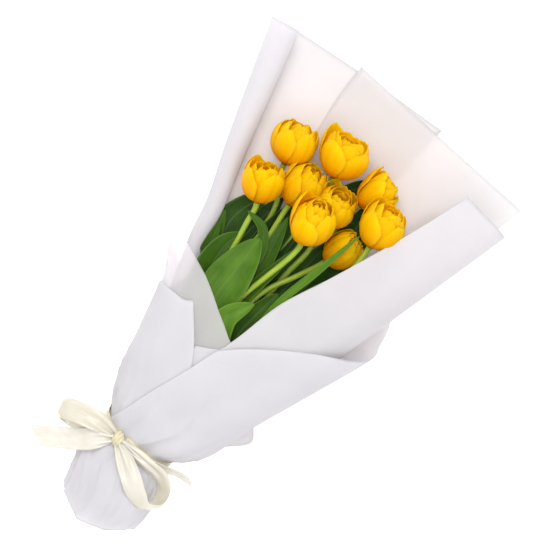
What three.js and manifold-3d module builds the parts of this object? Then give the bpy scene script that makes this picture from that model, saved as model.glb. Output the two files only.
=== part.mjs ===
// A bunch of nine yellow double tulips, wrapped in paper and tied with a satin bow.
// Millimetres. +Y runs along the bunch from the cut ends to the blooms, +X to the right
// seen from above, +Z up. The bunch lies on its back on the plane z = 0.

import * as THREE from 'three';
import { mergeVertices } from 'three/addons/utils/BufferGeometryUtils.js';
import Module from 'manifold-3d';

const wasm = await Module();
wasm.setup();

// Driving sizes

const PAPER = 0.7;            // thickness of a wrapping sheet
const PITCH = 2;              // from one nested sheet to the next
const CROWN = 5;              // rise of the front of the wrap between its sides
const WAIST_BOW = 13;         // how far the tie dips towards the cut ends at the front
const WAIST_BOW_REACH = 35;   // length of bunch over which that dip fades
const WAIST_MIDDLE = 33;      // height of the middle of the waist
const WAIST_HALF_HEIGHT = 27;
const FLARE_START = 95;       // rows of all sheets run level up to here
const STEM_RADIUS = 3.3;
const STEM_SIDES = 6;
const STEM_LEAD = 6;          // a stem's last stretch, in line with its bloom
const LEAF_THICKNESS = 1.2;
const PETAL_THICKNESS = 0.9;
const SEAT = 0.3;             // clearance between a bloom and its stem
const RIBBON_WIDTH = 24;
const RIBBON_THICKNESS = 0.9;
const BAND_HALF_WIDTH = 8;    // the band is gathered, so narrower than the ribbon
const SLIVER = 0.15;          // edges shorter than this are closed up after fusing
const CENTRE_SHIFT = { x: -7.9, y: 183.8 };  // moves the origin to the middle of the base

// Small maths

const radians = THREE.MathUtils.degToRad;
const lerp = THREE.MathUtils.lerp;
const clamp = THREE.MathUtils.clamp;

// A smooth curve through [position, value] stations that never overshoots them
function curveThrough(stations) {
  const at = stations.map((s) => s[0]);
  const value = stations.map((s) => s[1]);
  const last = at.length - 1;
  const slope = (k) => (value[k + 1] - value[k]) / (at[k + 1] - at[k]);
  const tangent = at.map((_, k) => {
    if (k === 0) return slope(0);
    if (k === last) return slope(last - 1);
    const before = slope(k - 1);
    const after = slope(k);
    if (before * after <= 0) return 0;
    const limit = 3 * Math.min(Math.abs(before), Math.abs(after));
    return Math.sign(before) * Math.min(Math.abs(before + after) / 2, limit);
  });
  return (position) => {
    const p = clamp(position, at[0], at[last]);
    let k = 0;
    while (k < last - 1 && p > at[k + 1]) k += 1;
    const span = at[k + 1] - at[k];
    const t = (p - at[k]) / span;
    const fromStart = value[k] * (1 + 2 * t) + tangent[k] * span * t;
    const fromEnd = value[k + 1] * (3 - 2 * t) - tangent[k + 1] * span * (1 - t);
    return fromStart * (1 - t) * (1 - t) + fromEnd * t * t;
  };
}

// Repeatable random numbers between -1 and 1
function seededSpread(seed) {
  let state = seed * 7919 + 13;
  return () => {
    state = (state * 48271) % 2147483647;
    return (2 * state) / 2147483647 - 1;
  };
}

// Closed solids from grids of points

// A blade with an outer and an inner face, each a grid of points [column][row]
function bladeGeometry(outer, inner) {
  const columns = outer.length;
  const rows = outer[0].length;
  const positions = [];
  const index = [];
  for (const face of [outer, inner]) {
    for (const column of face) {
      for (const point of column) positions.push(point.x, point.y, point.z);
    }
  }
  const id = (face, i, j) => face * columns * rows + i * rows + j;
  const quad = (a, b, c, d) => index.push(a, b, c, a, c, d);
  for (let i = 0; i < columns - 1; i += 1) {
    for (let j = 0; j < rows - 1; j += 1) {
      quad(id(0, i, j), id(0, i + 1, j), id(0, i + 1, j + 1), id(0, i, j + 1));
      index.push(id(1, i, j), id(1, i + 1, j + 1), id(1, i + 1, j));
      index.push(id(1, i, j), id(1, i, j + 1), id(1, i + 1, j + 1));
    }
  }
  for (let i = 0; i < columns - 1; i += 1) {
    quad(id(0, i, 0), id(1, i, 0), id(1, i + 1, 0), id(0, i + 1, 0));
    quad(id(0, i + 1, rows - 1), id(1, i + 1, rows - 1), id(1, i, rows - 1), id(0, i, rows - 1));
  }
  for (let j = 0; j < rows - 1; j += 1) {
    quad(id(0, 0, j + 1), id(1, 0, j + 1), id(1, 0, j), id(0, 0, j));
    const c = columns - 1;
    quad(id(0, c, j), id(1, c, j), id(1, c, j + 1), id(0, c, j + 1));
  }
  return closedGeometry(positions, index);
}

// A blade given by its middle surface, thickened evenly on both sides
function thickBlade(surface, columns, rows, thickness) {
  const step = 0.001;
  const outer = [];
  const inner = [];
  for (let i = 0; i <= columns; i += 1) {
    outer.push([]);
    inner.push([]);
    for (let j = 0; j <= rows; j += 1) {
      const u = i / columns;
      const v = j / rows;
      const middle = surface(u, v);
      const across = surface(u + step, v).sub(surface(u - step, v));
      const along = surface(u, v + step).sub(surface(u, v - step));
      const normal = across.cross(along).normalize().multiplyScalar(thickness / 2);
      outer[i].push(middle.clone().add(normal));
      inner[i].push(middle.clone().sub(normal));
    }
  }
  return bladeGeometry(outer, inner);
}

// A solid lofted through rings of equal point count, closed at both ends
function loftGeometry(rings) {
  const sides = rings[0].length;
  const positions = [];
  const index = [];
  for (const ring of rings) {
    for (const point of ring) positions.push(point.x, point.y, point.z);
  }
  for (let r = 0; r < rings.length - 1; r += 1) {
    for (let i = 0; i < sides; i += 1) {
      const next = (i + 1) % sides;
      const a = r * sides + i;
      const b = r * sides + next;
      index.push(a, b, b + sides, a, b + sides, a + sides);
    }
  }
  const end = (rings.length - 1) * sides;
  for (let i = 1; i < sides - 1; i += 1) {
    index.push(0, i + 1, i);
    index.push(end, end + i, end + i + 1);
  }
  return closedGeometry(positions, index);
}

// Makes the geometry, with its faces turned outwards whatever way they were listed
function closedGeometry(positions, index) {
  let volume = 0;
  const corner = (k) => new THREE.Vector3().fromArray(positions, 3 * index[k]);
  for (let k = 0; k < index.length; k += 3) {
    volume += corner(k).dot(corner(k + 1).cross(corner(k + 2)));
  }
  if (volume < 0) index.reverse();
  const geometry = new THREE.BufferGeometry();
  geometry.setAttribute('position', new THREE.Float32BufferAttribute(positions, 3));
  geometry.setIndex(index);
  return geometry;
}

// Joining solids

function toSolid(geometry) {
  return new wasm.Manifold(new wasm.Mesh({
    numProp: 3,
    vertProperties: new Float32Array(geometry.attributes.position.array),
    triVerts: new Uint32Array(geometry.index.array),
  }));
}

// Fuses the pieces, fills any hollow that fusing sealed and drops loose scraps
function fuse(geometries) {
  let whole = toSolid(geometries[0]);
  for (const geometry of geometries.slice(1)) whole = whole.add(toSolid(geometry));
  const bodies = whole.simplify(SLIVER).decompose().sort((a, b) => b.volume() - a.volume());
  const mesh = bodies[0].getMesh();
  const positions = [];
  for (let k = 0; k < mesh.vertProperties.length; k += mesh.numProp) {
    positions.push(...mesh.vertProperties.slice(k, k + 3));
  }
  return closedGeometry(positions, Array.from(mesh.triVerts));
}

function part(name, geometry, colour, roughness) {
  const material = new THREE.MeshStandardMaterial({ color: colour, roughness, metalness: 0 });
  const mesh = new THREE.Mesh(geometry, material);
  mesh.name = name;
  return mesh;
}

// The wrap: nested sheets that share one cross-section along the bunch

const leftSide = curveThrough([
  [-112, -28], [-98, -31], [-75, -38], [-50, -45], [-20, -47], [-8, -45], [0, -44.5], [8, -46],
  [17, -52], [42, -65], [100, -81], [157, -99], [201, -123],
]);
const rightSide = curveThrough([
  [-112, 57], [-98, 61], [-75, 64], [-50, 62], [-20, 53], [-8, 46.5], [0, 45.5], [8, 48],
  [17, 58], [35, 71], [60, 81], [85, 89.5], [205, 119], [428, 174], [478, 186],
]);
const leftRound = curveThrough([
  [-112, 24], [-50, 29], [0, 27], [35, 32], [95, 37], [144, 36], [180, 33], [205, 30],
]);
const rightRound = curveThrough([
  [-112, 24], [-50, 29], [0, 27], [35, 32], [95, 37], [205, 38], [350, 41], [390, 38], [435, 29],
  [478, 24],
]);
// The waist is pinched clear of the surface that the bunch lies on
const waistLift = curveThrough([[-45, 0], [-10, 4], [10, 4], [45, 0]]);
// How closely the sheets are stacked under the bunch: one on another, then each on the surface
const stacking = curveThrough([[-112, 0.8], [100, 0.9], [200, 0.72], [262, 0.56], [330, 0]]);
const skirtEnd = curveThrough([
  [-45, -88], [-30, -98], [3, -111], [32, -102.5], [52, -92], [62, -82], [66, -75],
]);

// The cross-section of one sheet at y, inset by its depth in the stack
function crossSection(sheet, y, depth) {
  const inset = sheet.level * PITCH + depth;
  const leftRadius = (sheet.leftRound ? sheet.leftRound(y) : leftRound(y) - sheet.level * PITCH) - depth;
  const rightRadius = rightRound(y) - inset;
  const left = sheet.left ? sheet.left(y) + depth : leftSide(y) + inset - (sheet.spread?.(y) ?? 0);
  const right = (sheet.right ? sheet.right(y) : rightSide(y) - sheet.level * PITCH) - depth;
  const lift = waistLift(y);
  const stacked = sheet.rank * PITCH * stacking(y) + (sheet.rest ?? 0) * (1 - stacking(y));
  const top = lift + PITCH - inset;
  const leftTop = sheet.leftRound
    ? lift + stacked + 2 * sheet.leftRound(y) - depth
    : top + 2 * leftRound(y);
  return {
    left,
    right,
    leftRadius,
    rightRadius,
    floor: lift + stacked + depth,
    leftTop,
    rightTop: top + 2 * rightRound(y),
  };
}

// Height of the front of the wrap above x
function frontHeight(section, x) {
  const { left, right, leftRadius, rightRadius, floor, leftTop, rightTop } = section;
  const a = left + leftRadius;
  const b = right - rightRadius;
  const round = (top, radius, past) => {
    const half = (top - floor) / 2;
    return floor + half + half * Math.sqrt(Math.max(0, 1 - (past / radius) ** 2));
  };
  if (x < a) return round(leftTop, leftRadius, a - x);
  if (x > b) return round(rightTop, rightRadius, x - b);
  const t = (x - a) / (b - a);
  const blend = t * t * (3 - 2 * t);
  return lerp(leftTop, rightTop, blend) + CROWN * Math.sin(Math.PI * t) ** 2;
}

// One point of a sheet: along the back, round its side and over the front
function sheetPoint(sheet, column, y, depth) {
  const section = crossSection(sheet, y, depth);
  const [backColumns, sideColumns, frontColumns] = sheet.columns;
  const sign = sheet.side === 'right' ? 1 : -1;
  const radius = sign > 0 ? section.rightRadius : section.leftRadius;
  const top = sign > 0 ? section.rightTop : section.leftTop;
  const anchor = sign > 0 ? section.right - radius : section.left + radius;
  if (column <= backColumns) {
    const x = lerp(sheet.backEdge(y), anchor, column / backColumns);
    return new THREE.Vector3(x, y, section.floor);
  }
  if (column <= backColumns + sideColumns) {
    const turn = sheet.turn ? sheet.turn(y) : 180;
    const angle = radians(-90 + (turn * (column - backColumns)) / sideColumns);
    const half = (top - section.floor) / 2;
    const x = anchor + sign * radius * Math.cos(angle);
    return new THREE.Vector3(x, y, section.floor + half + half * Math.sin(angle));
  }
  const share = (column - backColumns - sideColumns) / frontColumns;
  const x = lerp(anchor, sheet.frontEdge(y), share);
  return new THREE.Vector3(x, y, frontHeight(section, x));
}

// The tie pulls the front of the paper towards the cut ends
function tieDip(point) {
  const front = clamp((point.z - WAIST_MIDDLE) / WAIST_HALF_HEIGHT, 0, 1);
  point.y -= WAIST_BOW * front * Math.exp(-((point.y / WAIST_BOW_REACH) ** 2));
  return point;
}

// Rows of a sheet: the skirt, the waist and the part above, up to the sheet's own top edge
function sheetRows(sheet, column) {
  const skirtRows = 3;
  const waistRows = [-20, -8, 0, 8, 17, 35, 60, FLARE_START];
  const low = sheetPoint(sheet, column, -85, 0);
  const end = skirtEnd(low.x) + 1.5 * sheet.level;
  const rows = [];
  for (let k = 0; k < skirtRows; k += 1) rows.push(lerp(end, waistRows[0], k / skirtRows));
  rows.push(...waistRows);
  const top = sheet.topEdge(column);
  for (let k = 1; k <= sheet.upperRows; k += 1) {
    rows.push(lerp(FLARE_START, top, k / sheet.upperRows));
  }
  return rows;
}

function sheetGeometry(sheet) {
  const columns = sheet.columns[0] + sheet.columns[1] + sheet.columns[2];
  const face = (depth) => {
    const grid = [];
    for (let i = 0; i <= columns; i += 1) {
      grid.push(sheetRows(sheet, i).map((y) => tieDip(sheetPoint(sheet, i, y, depth))));
    }
    return grid;
  };
  return bladeGeometry(face(0), face(PAPER));
}

// level is the place from the outside at the sides and front, rank the place from the
// surface upwards at the back. Edges are [y, x] stations, top edges [column, y] stations.
const SHEETS = {
  wrap_lower_front: {
    side: 'right', level: 0, rank: 1, columns: [2, 6, 6], upperRows: 4,
    right: curveThrough([
      [-112, 57], [-98, 61], [-75, 64], [-50, 62], [-20, 53], [-8, 46.5], [0, 45.5], [8, 48.5],
      [17, 61], [35, 74], [60, 83], [85, 90.5], [144, 112.5], [203, 134.5], [234, 146], [270, 153],
    ]),
    backEdge: curveThrough([[-112, -2], [0, -4], [100, 4], [225, 40], [268, 60]]),
    frontEdge: curveThrough([[-112, -20], [-50, -36], [0, -38], [29, -28.5], [95, -5], [129.5, 5.5]]),
    topEdge: curveThrough([[0, 225], [2, 268], [3.5, 254], [5, 236], [6.5, 218], [8, 199], [14, 129.5]]),
  },
  wrap_left_outer: {
    side: 'left', level: 1, rank: 0, columns: [3, 6, 3], upperRows: 3,
    backEdge: curveThrough([
      [-112, 14], [0, 15], [9, 16], [20, 48], [35, 74], [49, 83], [73, 102.5], [87, 93], [112, 70],
    ]),
    frontEdge: curveThrough([[-112, 5], [60, 5], [95, -2], [118, -16.5], [155.5, -49.5]]),
    topEdge: curveThrough([[0, 112], [3, 128], [6, 148], [9, 149], [12, 155.5]]),
  },
  wrap_right_flap: {
    side: 'right', level: 2, rank: 2, columns: [2, 6, 4], upperRows: 9,
    backEdge: curveThrough([[-112, 2], [0, 2], [205, 45], [300, 62], [430, 100]]),
    frontEdge: curveThrough([
      [-112, -14], [0, -18], [60, -30], [118, -16.5], [132, 6.5], [146, 11.5], [213.5, 27],
      [267.5, 52], [368, 89.5], [435, 109.5],
    ]),
    topEdge: curveThrough([[0, 400], [2, 425], [5, 428], [8, 431], [12, 435]]),
  },
  wrap_left_inner: {
    side: 'left', level: 3, rank: 3, columns: [2, 8, 4], upperRows: 4,
    spread: curveThrough([[100, 0], [157, 2], [201, 5.4]]),
    backEdge: curveThrough([[-112, 6], [0, 8], [150, 10]]),
    frontEdge: curveThrough([[-112, 8], [0, 8], [35, 10], [95, 22], [138, 30]]),
    topEdge: curveThrough([[0, 150], [2, 168], [6, 201], [8, 206], [10, 200], [14, 138]]),
  },
  wrap_back_left: {
    side: 'left', level: 4, rank: 4, rest: 0, columns: [4, 7, 0], upperRows: 9,
    left: curveThrough([
      [-112, -19], [-98, -22], [-75, -29], [-50, -36], [-20, -38], [-8, -36],
      [0, -35.5], [8, -37], [17, -43], [42, -56], [100, -66.5], [157, -83], [211, -102],
      [247, -111], [312, -136.5], [387, -163.5], [452, -186.5], [478, -196],
    ]),
    leftRound: curveThrough([
      [-112, 16], [-50, 21], [0, 19], [35, 24], [100, 24.4], [157, 18], [211, 11.5],
      [312, 14.5], [387, 17], [452, 19],
    ]),
    turn: curveThrough([[-112, 110], [60, 110], [150, 130], [211, 240], [452, 252]]),
    backEdge: curveThrough([[-112, 12], [0, 12], [205, 30], [478, 41]]),
    topEdge: curveThrough([[0, 478.7], [2.2, 470], [4, 459], [7.5, 452.4], [11, 459.5]]),
  },
  wrap_back_right: {
    side: 'right', level: 5, rank: 5, rest: 2.5, columns: [5, 3, 0], upperRows: 9,
    turn: curveThrough([[-112, 130], [60, 130], [205, 90], [350, 60], [475, 40]]),
    backEdge: curveThrough([[-112, -4], [-50, -11], [0, -13], [205, -30], [424, -72], [475.5, -75]]),
    topEdge: curveThrough([[0, 475.5], [5, 467.5], [8, 466]]),
  },
};

const PAPER_COLOUR = 0xf1eff4;

function wrapSheets() {
  return Object.entries(SHEETS).map(([name, sheet]) => (
    part(name, sheetGeometry(sheet), PAPER_COLOUR, 0.8)));
}

// Blooms: layers of petals round a small core, in a frame whose +Z is the flower's axis

// tall and wide are the head's length and greatest radius; open is the rise of the petal
// tips past the widest ring, in degrees, where 60 is nearly shut
const BLOOMS = [
  { x: -75.9, y: 359.2, z: 38, swing: -14, tilt: 12, wide: 25, tall: 50, open: 56, spin: 20 },
  { x: -26.5, y: 385.8, z: 42, swing: -16, tilt: 15, wide: 27, tall: 57, open: 46, spin: 10 },
  { x: -74.3, y: 304.7, z: 56, swing: -24, tilt: 20, wide: 24, tall: 51, open: 44, spin: 70 },
  { x: -37.2, y: 329.2, z: 42, swing: -4, tilt: 20, wide: 22, tall: 51, open: 48, spin: 5 },
  { x: 5.3, y: 337.8, z: 42, swing: -5, tilt: 25, wide: 21, tall: 48, open: 44, spin: 0 },
  { x: 31, y: 379, z: 35, swing: 24, tilt: 10, wide: 22, tall: 50, open: 36, spin: 10 },
  { x: 58.5, y: 352.1, z: 68, swing: -6, tilt: 20, wide: 27, tall: 56, open: 46, spin: 15 },
  { x: -3.8, y: 304.8, z: 79, swing: -14, tilt: 28, wide: 25.5, tall: 57, open: 46, spin: 90 },
  { x: 40.8, y: 301.3, z: 37, swing: 18, tilt: 15, wide: 20.5, tall: 46, open: 42, spin: 15 },
];

const PETAL_LAYERS = [
  { count: 3, reach: 1, height: 1, halfWidth: 56, columns: 3, rows: 3, turn: 0, shut: 0 },
  { count: 3, reach: 0.82, height: 0.97, halfWidth: 54, columns: 3, rows: 3, turn: 60, shut: 6 },
  { count: 3, reach: 0.58, height: 0.84, halfWidth: 46, columns: 2, rows: 2, turn: 25, shut: 10 },
];

const PETAL_OUTLINE = curveThrough([
  [0, 0.62], [0.3, 0.92], [0.55, 1], [0.78, 0.86], [0.93, 0.5], [1, 0.16],
]);

function axisOf(bloom) {
  const swing = radians(bloom.swing);
  const tilt = radians(bloom.tilt);
  return new THREE.Vector3(
    Math.sin(swing) * Math.cos(tilt), Math.cos(swing) * Math.cos(tilt), Math.sin(tilt),
  );
}

function baseOf(bloom) {
  const centre = new THREE.Vector3(bloom.x, bloom.y, bloom.z);
  return centre.addScaledVector(axisOf(bloom), -bloom.tall / 2);
}

function petalGeometry(bloom, layer, heading, spread) {
  const wide = bloom.wide * layer.reach * (1 + 0.015 * spread());
  const rise = bloom.tall * layer.height * (1 + 0.03 * spread());
  const tip = bloom.open + layer.shut + 3 * spread();
  const rootAngle = radians(-78);
  const tipAngle = radians(tip);
  const half = rise / (Math.sin(tipAngle) - Math.sin(rootAngle));
  const surface = (u, v) => {
    const angle = lerp(rootAngle, tipAngle, v);
    const across = (2 * u - 1) * radians(layer.halfWidth) * PETAL_OUTLINE(clamp(v, 0, 1));
    const radius = wide * Math.cos(angle) * (1 - 0.05 * (2 * u - 1) ** 2);
    const height = half * (Math.sin(angle) - Math.sin(rootAngle)) + 1.5;
    const bearing = heading + across;
    return new THREE.Vector3(radius * Math.cos(bearing), radius * Math.sin(bearing), height);
  };
  return thickBlade(surface, layer.columns, layer.rows, PETAL_THICKNESS);
}

function ring(radius, height, sides) {
  const points = [];
  for (let i = 0; i < sides; i += 1) {
    const angle = (2 * Math.PI * i) / sides;
    points.push(new THREE.Vector3(radius * Math.cos(angle), radius * Math.sin(angle), height));
  }
  return points;
}

function bloomCore(bloom) {
  const sides = 6;
  const profile = [[3.6, 0], [0.34 * bloom.wide, 5], [0.14 * bloom.wide, 18]];
  return loftGeometry(profile.map(([radius, height]) => ring(radius, height, sides)));
}

function bloomMesh(bloom, number) {
  const spread = seededSpread(number);
  const pieces = [bloomCore(bloom)];
  for (const layer of PETAL_LAYERS) {
    for (let k = 0; k < layer.count; k += 1) {
      const heading = radians(bloom.spin + layer.turn + (360 * k) / layer.count + 3 * spread());
      pieces.push(petalGeometry(bloom, layer, heading, spread));
    }
  }
  const mesh = part(`bloom_0${number}`, fuse(pieces), 0xffcc08, 0.55);
  mesh.position.copy(baseOf(bloom));
  mesh.quaternion.setFromUnitVectors(new THREE.Vector3(0, 0, 1), axisOf(bloom));
  return mesh;
}

// Stems run side by side from their cut ends through the tie, then fan out. Each is listed
// with its place in that bundle, its cut end and the points above the tie, up to its bloom.
// A leaf is the y of its root on the stem, the further points of its midrib and its greatest
// width; lean tips its faces about the midrib.

const BUNDLE = { x: -2, z: 33, stepX: 6.95, stepZ: 6.1, top: 6 };

const STEMS = [
  {
    place: [-1, -1],
    cutEnd: -80,
    route: [[-27, 110, 18], [-40, 230, 13], [-47, 290, 14], [-60, 318, 21]],
    leaves: [
      { root: 98, midrib: [[-48, 150, 32], [-74, 205, 35], [-89, 254, 36]], width: 22, lean: 8 },
      { root: 118, midrib: [[-45, 160, 17], [-64, 215, 16.5], [-75, 280, 19]], width: 27, lean: 0 },
      { root: 120, midrib: [[-48, 180, 12.5], [-56, 230, 11], [-55, 272, 11]], width: 26, lean: 0 },
      { root: 150, midrib: [[-34, 200, 12], [-30, 250, 11], [-33, 294, 11.5]], width: 30, lean: 0 },
    ],
  },
  {
    place: [0, -1],
    cutEnd: -76,
    route: [[-6, 110, 18], [-10, 230, 11.4], [-13, 300, 12], [-17, 340, 20]],
    leaves: [
      { root: 170, midrib: [[-3, 250, 11], [-1, 320, 8.5], [4, 366, 13]], width: 17, lean: 0 },
      { root: 140, midrib: [[1, 195, 13], [6, 245, 11.5], [8, 287, 11.5]], width: 20, lean: 0 },
    ],
  },
  {
    place: [-1, 1],
    cutEnd: -72,
    route: [[-34, 110, 43], [-53.7, 230, 43], [-60, 260, 45]],
    leaves: [
      {
        root: 78,
        midrib: [[-46, 150, 42], [-60, 200, 42], [-62, 225, 42], [-55, 247, 42]],
        width: 36,
        lean: -8,
      },
      { root: 96, midrib: [[-58, 150, 46], [-74, 195, 46], [-87, 238, 44]], width: 20, lean: 10 },
    ],
  },
  {
    place: [-1, 0],
    cutEnd: -82,
    route: [[-20, 110, 30], [-25, 215, 26], [-31, 260, 27]],
    leaves: [
      {
        root: 108,
        midrib: [[-13, 170, 34], [-15, 225, 36], [-22, 262, 36], [-29, 292, 35]],
        width: 20,
        lean: 12,
      },
      {
        root: 125,
        midrib: [[-30, 180, 42], [-28, 215, 50], [-29, 244, 52], [-42, 264, 54], [-67, 269, 53]],
        width: 15,
        lean: -10,
      },
    ],
  },
  {
    place: [1, 0],
    cutEnd: -78,
    route: [[12, 110, 30], [10, 237, 24], [12.5, 280, 24]],
    leaves: [
      { root: 62, midrib: [[12, 120, 39], [13, 180, 44], [17, 220, 45]], width: 27, lean: 0 },
      { root: 112, midrib: [[16, 180, 24.5], [21, 250, 21], [24, 286, 19]], width: 13, lean: 0 },
    ],
  },
  {
    place: [1, -1],
    cutEnd: -84,
    route: [[17, 110, 18], [20, 230, 11.4], [22, 300, 11], [20.5, 335, 15]],
    leaves: [
      { root: 95, midrib: [[36, 170, 23], [46, 236, 27], [54, 270, 27]], width: 24, lean: 0 },
      { root: 110, midrib: [[46, 170, 15], [62, 225, 12.5], [72, 275, 12]], width: 26, lean: 0 },
      { root: 140, midrib: [[33, 200, 12], [38, 250, 11], [41, 292, 11]], width: 28, lean: 0 },
    ],
  },
  {
    place: [1, 1],
    cutEnd: -74,
    route: [[30, 110, 45], [51, 230, 49], [62, 285, 54]],
    leaves: [
      {
        root: 62,
        midrib: [[13, 112, 56.5], [-7, 150, 64], [-9, 166, 65], [4, 195, 64]],
        width: 28,
        lean: 0,
      },
      {
        root: 84,
        midrib: [[23, 130, 53], [24, 180, 56], [25, 217, 58], [36, 275, 63], [45, 326, 66]],
        width: 14,
        lean: 10,
      },
    ],
  },
  {
    place: [0, 1],
    cutEnd: -70,
    route: [[-10, 110, 47], [-11.5, 188, 51], [-4, 230, 56], [1.5, 259, 60.5]],
    leaves: [
      {
        root: 84,
        midrib: [[-20, 120, 51.5], [-33.5, 170, 53.6], [-35.5, 205, 55.6], [-37, 254, 58]],
        width: 48,
        lean: 3,
      },
    ],
  },
  {
    place: [0, 0],
    cutEnd: -79,
    route: [[-2, 110, 36], [3, 209, 36], [20, 247, 34]],
    leaves: [
      {
        root: 84,
        midrib: [[-9, 130, 40], [-9, 195, 43], [-3, 240, 46], [1.5, 273, 50]],
        width: 15,
        lean: 0,
      },
    ],
  },
];

const LEAF_OUTLINE = curveThrough([
  [0, 0.22], [0.2, 0.58], [0.45, 0.95], [0.64, 1], [0.82, 0.78], [0.93, 0.46], [1, 0.1],
]);
const LEAF_FOLD = 0.16;       // rise of a leaf's edges over its midrib, in parts of its width
const STEM_RINGS = 10;
const LEAF_ROWS = 5;

function smoothRoute(points) {
  return new THREE.CatmullRomCurve3(points.map((p) => new THREE.Vector3(...p)), false, 'centripetal');
}

// A stem's centre line, from its cut end to the end given, which it meets along endAxis
function stemCurve(stem, end, endAxis) {
  const x = BUNDLE.x + stem.place[0] * BUNDLE.stepX;
  const z = BUNDLE.z + stem.place[1] * BUNDLE.stepZ;
  const straight = [[x, stem.cutEnd, z], [x, -BUNDLE.top, z], [x, BUNDLE.top, z]];
  const lastBend = end.clone().addScaledVector(endAxis, -STEM_LEAD).toArray();
  return smoothRoute([...straight, ...stem.route, lastBend, end.toArray()]);
}

// Rings at right angles to the centre line, each turned from world up, so they never twist
function stemGeometry(curve, endAxis) {
  const rings = [];
  for (let k = 0; k <= STEM_RINGS; k += 1) {
    const t = k / STEM_RINGS;
    const centre = curve.getPointAt(t);
    const forward = k === STEM_RINGS ? endAxis : curve.getTangentAt(t);
    const side = new THREE.Vector3(0, 0, 1).cross(forward).normalize();
    const up = forward.clone().cross(side);
    const ringPoints = [];
    for (let i = 0; i < STEM_SIDES; i += 1) {
      const angle = (2 * Math.PI * i) / STEM_SIDES;
      ringPoints.push(centre.clone()
        .addScaledVector(side, STEM_RADIUS * Math.cos(angle))
        .addScaledVector(up, STEM_RADIUS * Math.sin(angle)));
    }
    rings.push(ringPoints);
  }
  return loftGeometry(rings);
}

// The point where a centre line that always climbs in y passes the y given
function pointAtY(curve, y) {
  let low = 0;
  let high = 1;
  for (let k = 0; k < 20; k += 1) {
    const middle = (low + high) / 2;
    if (curve.getPointAt(middle).y < y) low = middle;
    else high = middle;
  }
  return curve.getPointAt(low);
}

function leafGeometry(leaf, stemLine) {
  const curve = smoothRoute([pointAtY(stemLine, leaf.root).toArray(), ...leaf.midrib]);
  const lean = radians(leaf.lean);
  const surface = (u, v) => {
    const t = clamp(v, 0.0005, 0.9995);
    const centre = curve.getPointAt(t);
    const forward = curve.getTangentAt(t);
    const side = forward.clone().cross(new THREE.Vector3(0, 0, 1)).normalize();
    const up = side.clone().cross(forward);
    const wide = leaf.width * LEAF_OUTLINE(t);
    const across = side.clone().multiplyScalar(Math.cos(lean)).addScaledVector(up, Math.sin(lean));
    return centre.addScaledVector(across, (u - 0.5) * wide)
      .addScaledVector(up, LEAF_FOLD * wide * Math.abs(2 * u - 1))
      .addScaledVector(forward, v - t);
  };
  return thickBlade(surface, 2, LEAF_ROWS, LEAF_THICKNESS);
}

function stemMesh(stem, bloom, number) {
  const axis = axisOf(bloom);
  const line = stemCurve(stem, baseOf(bloom).addScaledVector(axis, -SEAT), axis);
  const leaves = stem.leaves.map((leaf) => leafGeometry(leaf, line));
  return part(`stem_0${number}`, fuse([stemGeometry(line, axis), ...leaves]), 0x6f9f35, 0.5);
}

// The ribbon: a band round the waist, a knot, two loops and two tails, all one strip

const KNOT = new THREE.Vector3(-15.5, -13, 66);
const BAND_CLEARANCE = 0.8;
const BAND_TURN_STEPS = 12;

// Routes of the strip's free parts: [x, y, z] and the direction of the strip's width there
const RIBBON_PARTS = [
  {
    name: 'left loop',
    steps: 13,
    pinch: [0.35, 1, 1, 1, 0.35],
    route: [
      [[-17, -13, 66], [0.1, 1, 0.1]],
      [[-46, -13, 73], [-0.15, 1, 0.05]],
      [[-82, -24, 68], [-0.3, 0.95, 0]],
      [[-87, -27, 60], [-0.3, 0.95, 0]],
      [[-76, -28, 55], [-0.3, 0.95, 0]],
      [[-46, -22, 58], [-0.1, 1, 0]],
      [[-19, -15, 65], [0.1, 1, 0.1]],
    ],
  },
  {
    name: 'right loop',
    steps: 15,
    pinch: [0.35, 0.9, 1, 0.95, 0.35],
    route: [
      [[-13, -16, 66], [0.5, 0.8, 0.3]],
      [[2, -24, 70], [0.5, 0.85, 0.15]],
      [[21.5, -34, 70], [0.5, 0.85, 0.1]],
      [[42, -46, 68], [0.45, 0.8, 0.4]],
      [[58, -52, 64], [0.3, 0.6, 0.7]],
      [[68, -45, 58], [0.1, 0.3, 0.95]],
      [[64, -32, 59], [0.1, 0.4, 0.9]],
      [[46.6, -23, 66], [0.2, 0.65, 0.73]],
      [[21, -18, 71.5], [0.3, 0.75, 0.6]],
      [[-11, -14, 67], [0.4, 0.85, 0.3]],
    ],
  },
  {
    name: 'left tail',
    steps: 8,
    pinch: [0.35, 0.8, 0.9, 0.95, 1],
    route: [
      [[-17, -15, 66], [0.3, 0.9, 0.2]],
      [[-34, -30, 67], [-0.55, 0.83, 0.05]],
      [[-54, -47, 53], [-0.6, 0.8, 0]],
      [[-73, -63, 31], [-0.6, 0.75, 0.1]],
      [[-94, -80, 10], [-0.62, 0.75, 0.1]],
    ],
  },
  {
    name: 'right tail',
    steps: 8,
    pinch: [0.35, 0.5, 0.6, 0.6, 0.5],
    route: [
      [[-13, -12, 66], [0.2, 0.9, 0.3]],
      [[14, -13, 69], [0.1, 0.8, 0.6]],
      [[42, -9, 60], [0.1, 0.6, 0.8]],
      [[63, -6, 39], [0.5, 0.5, 0.7]],
      [[84, -4, 15], [0.4, 0.6, 0.7]],
    ],
  },
];

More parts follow.
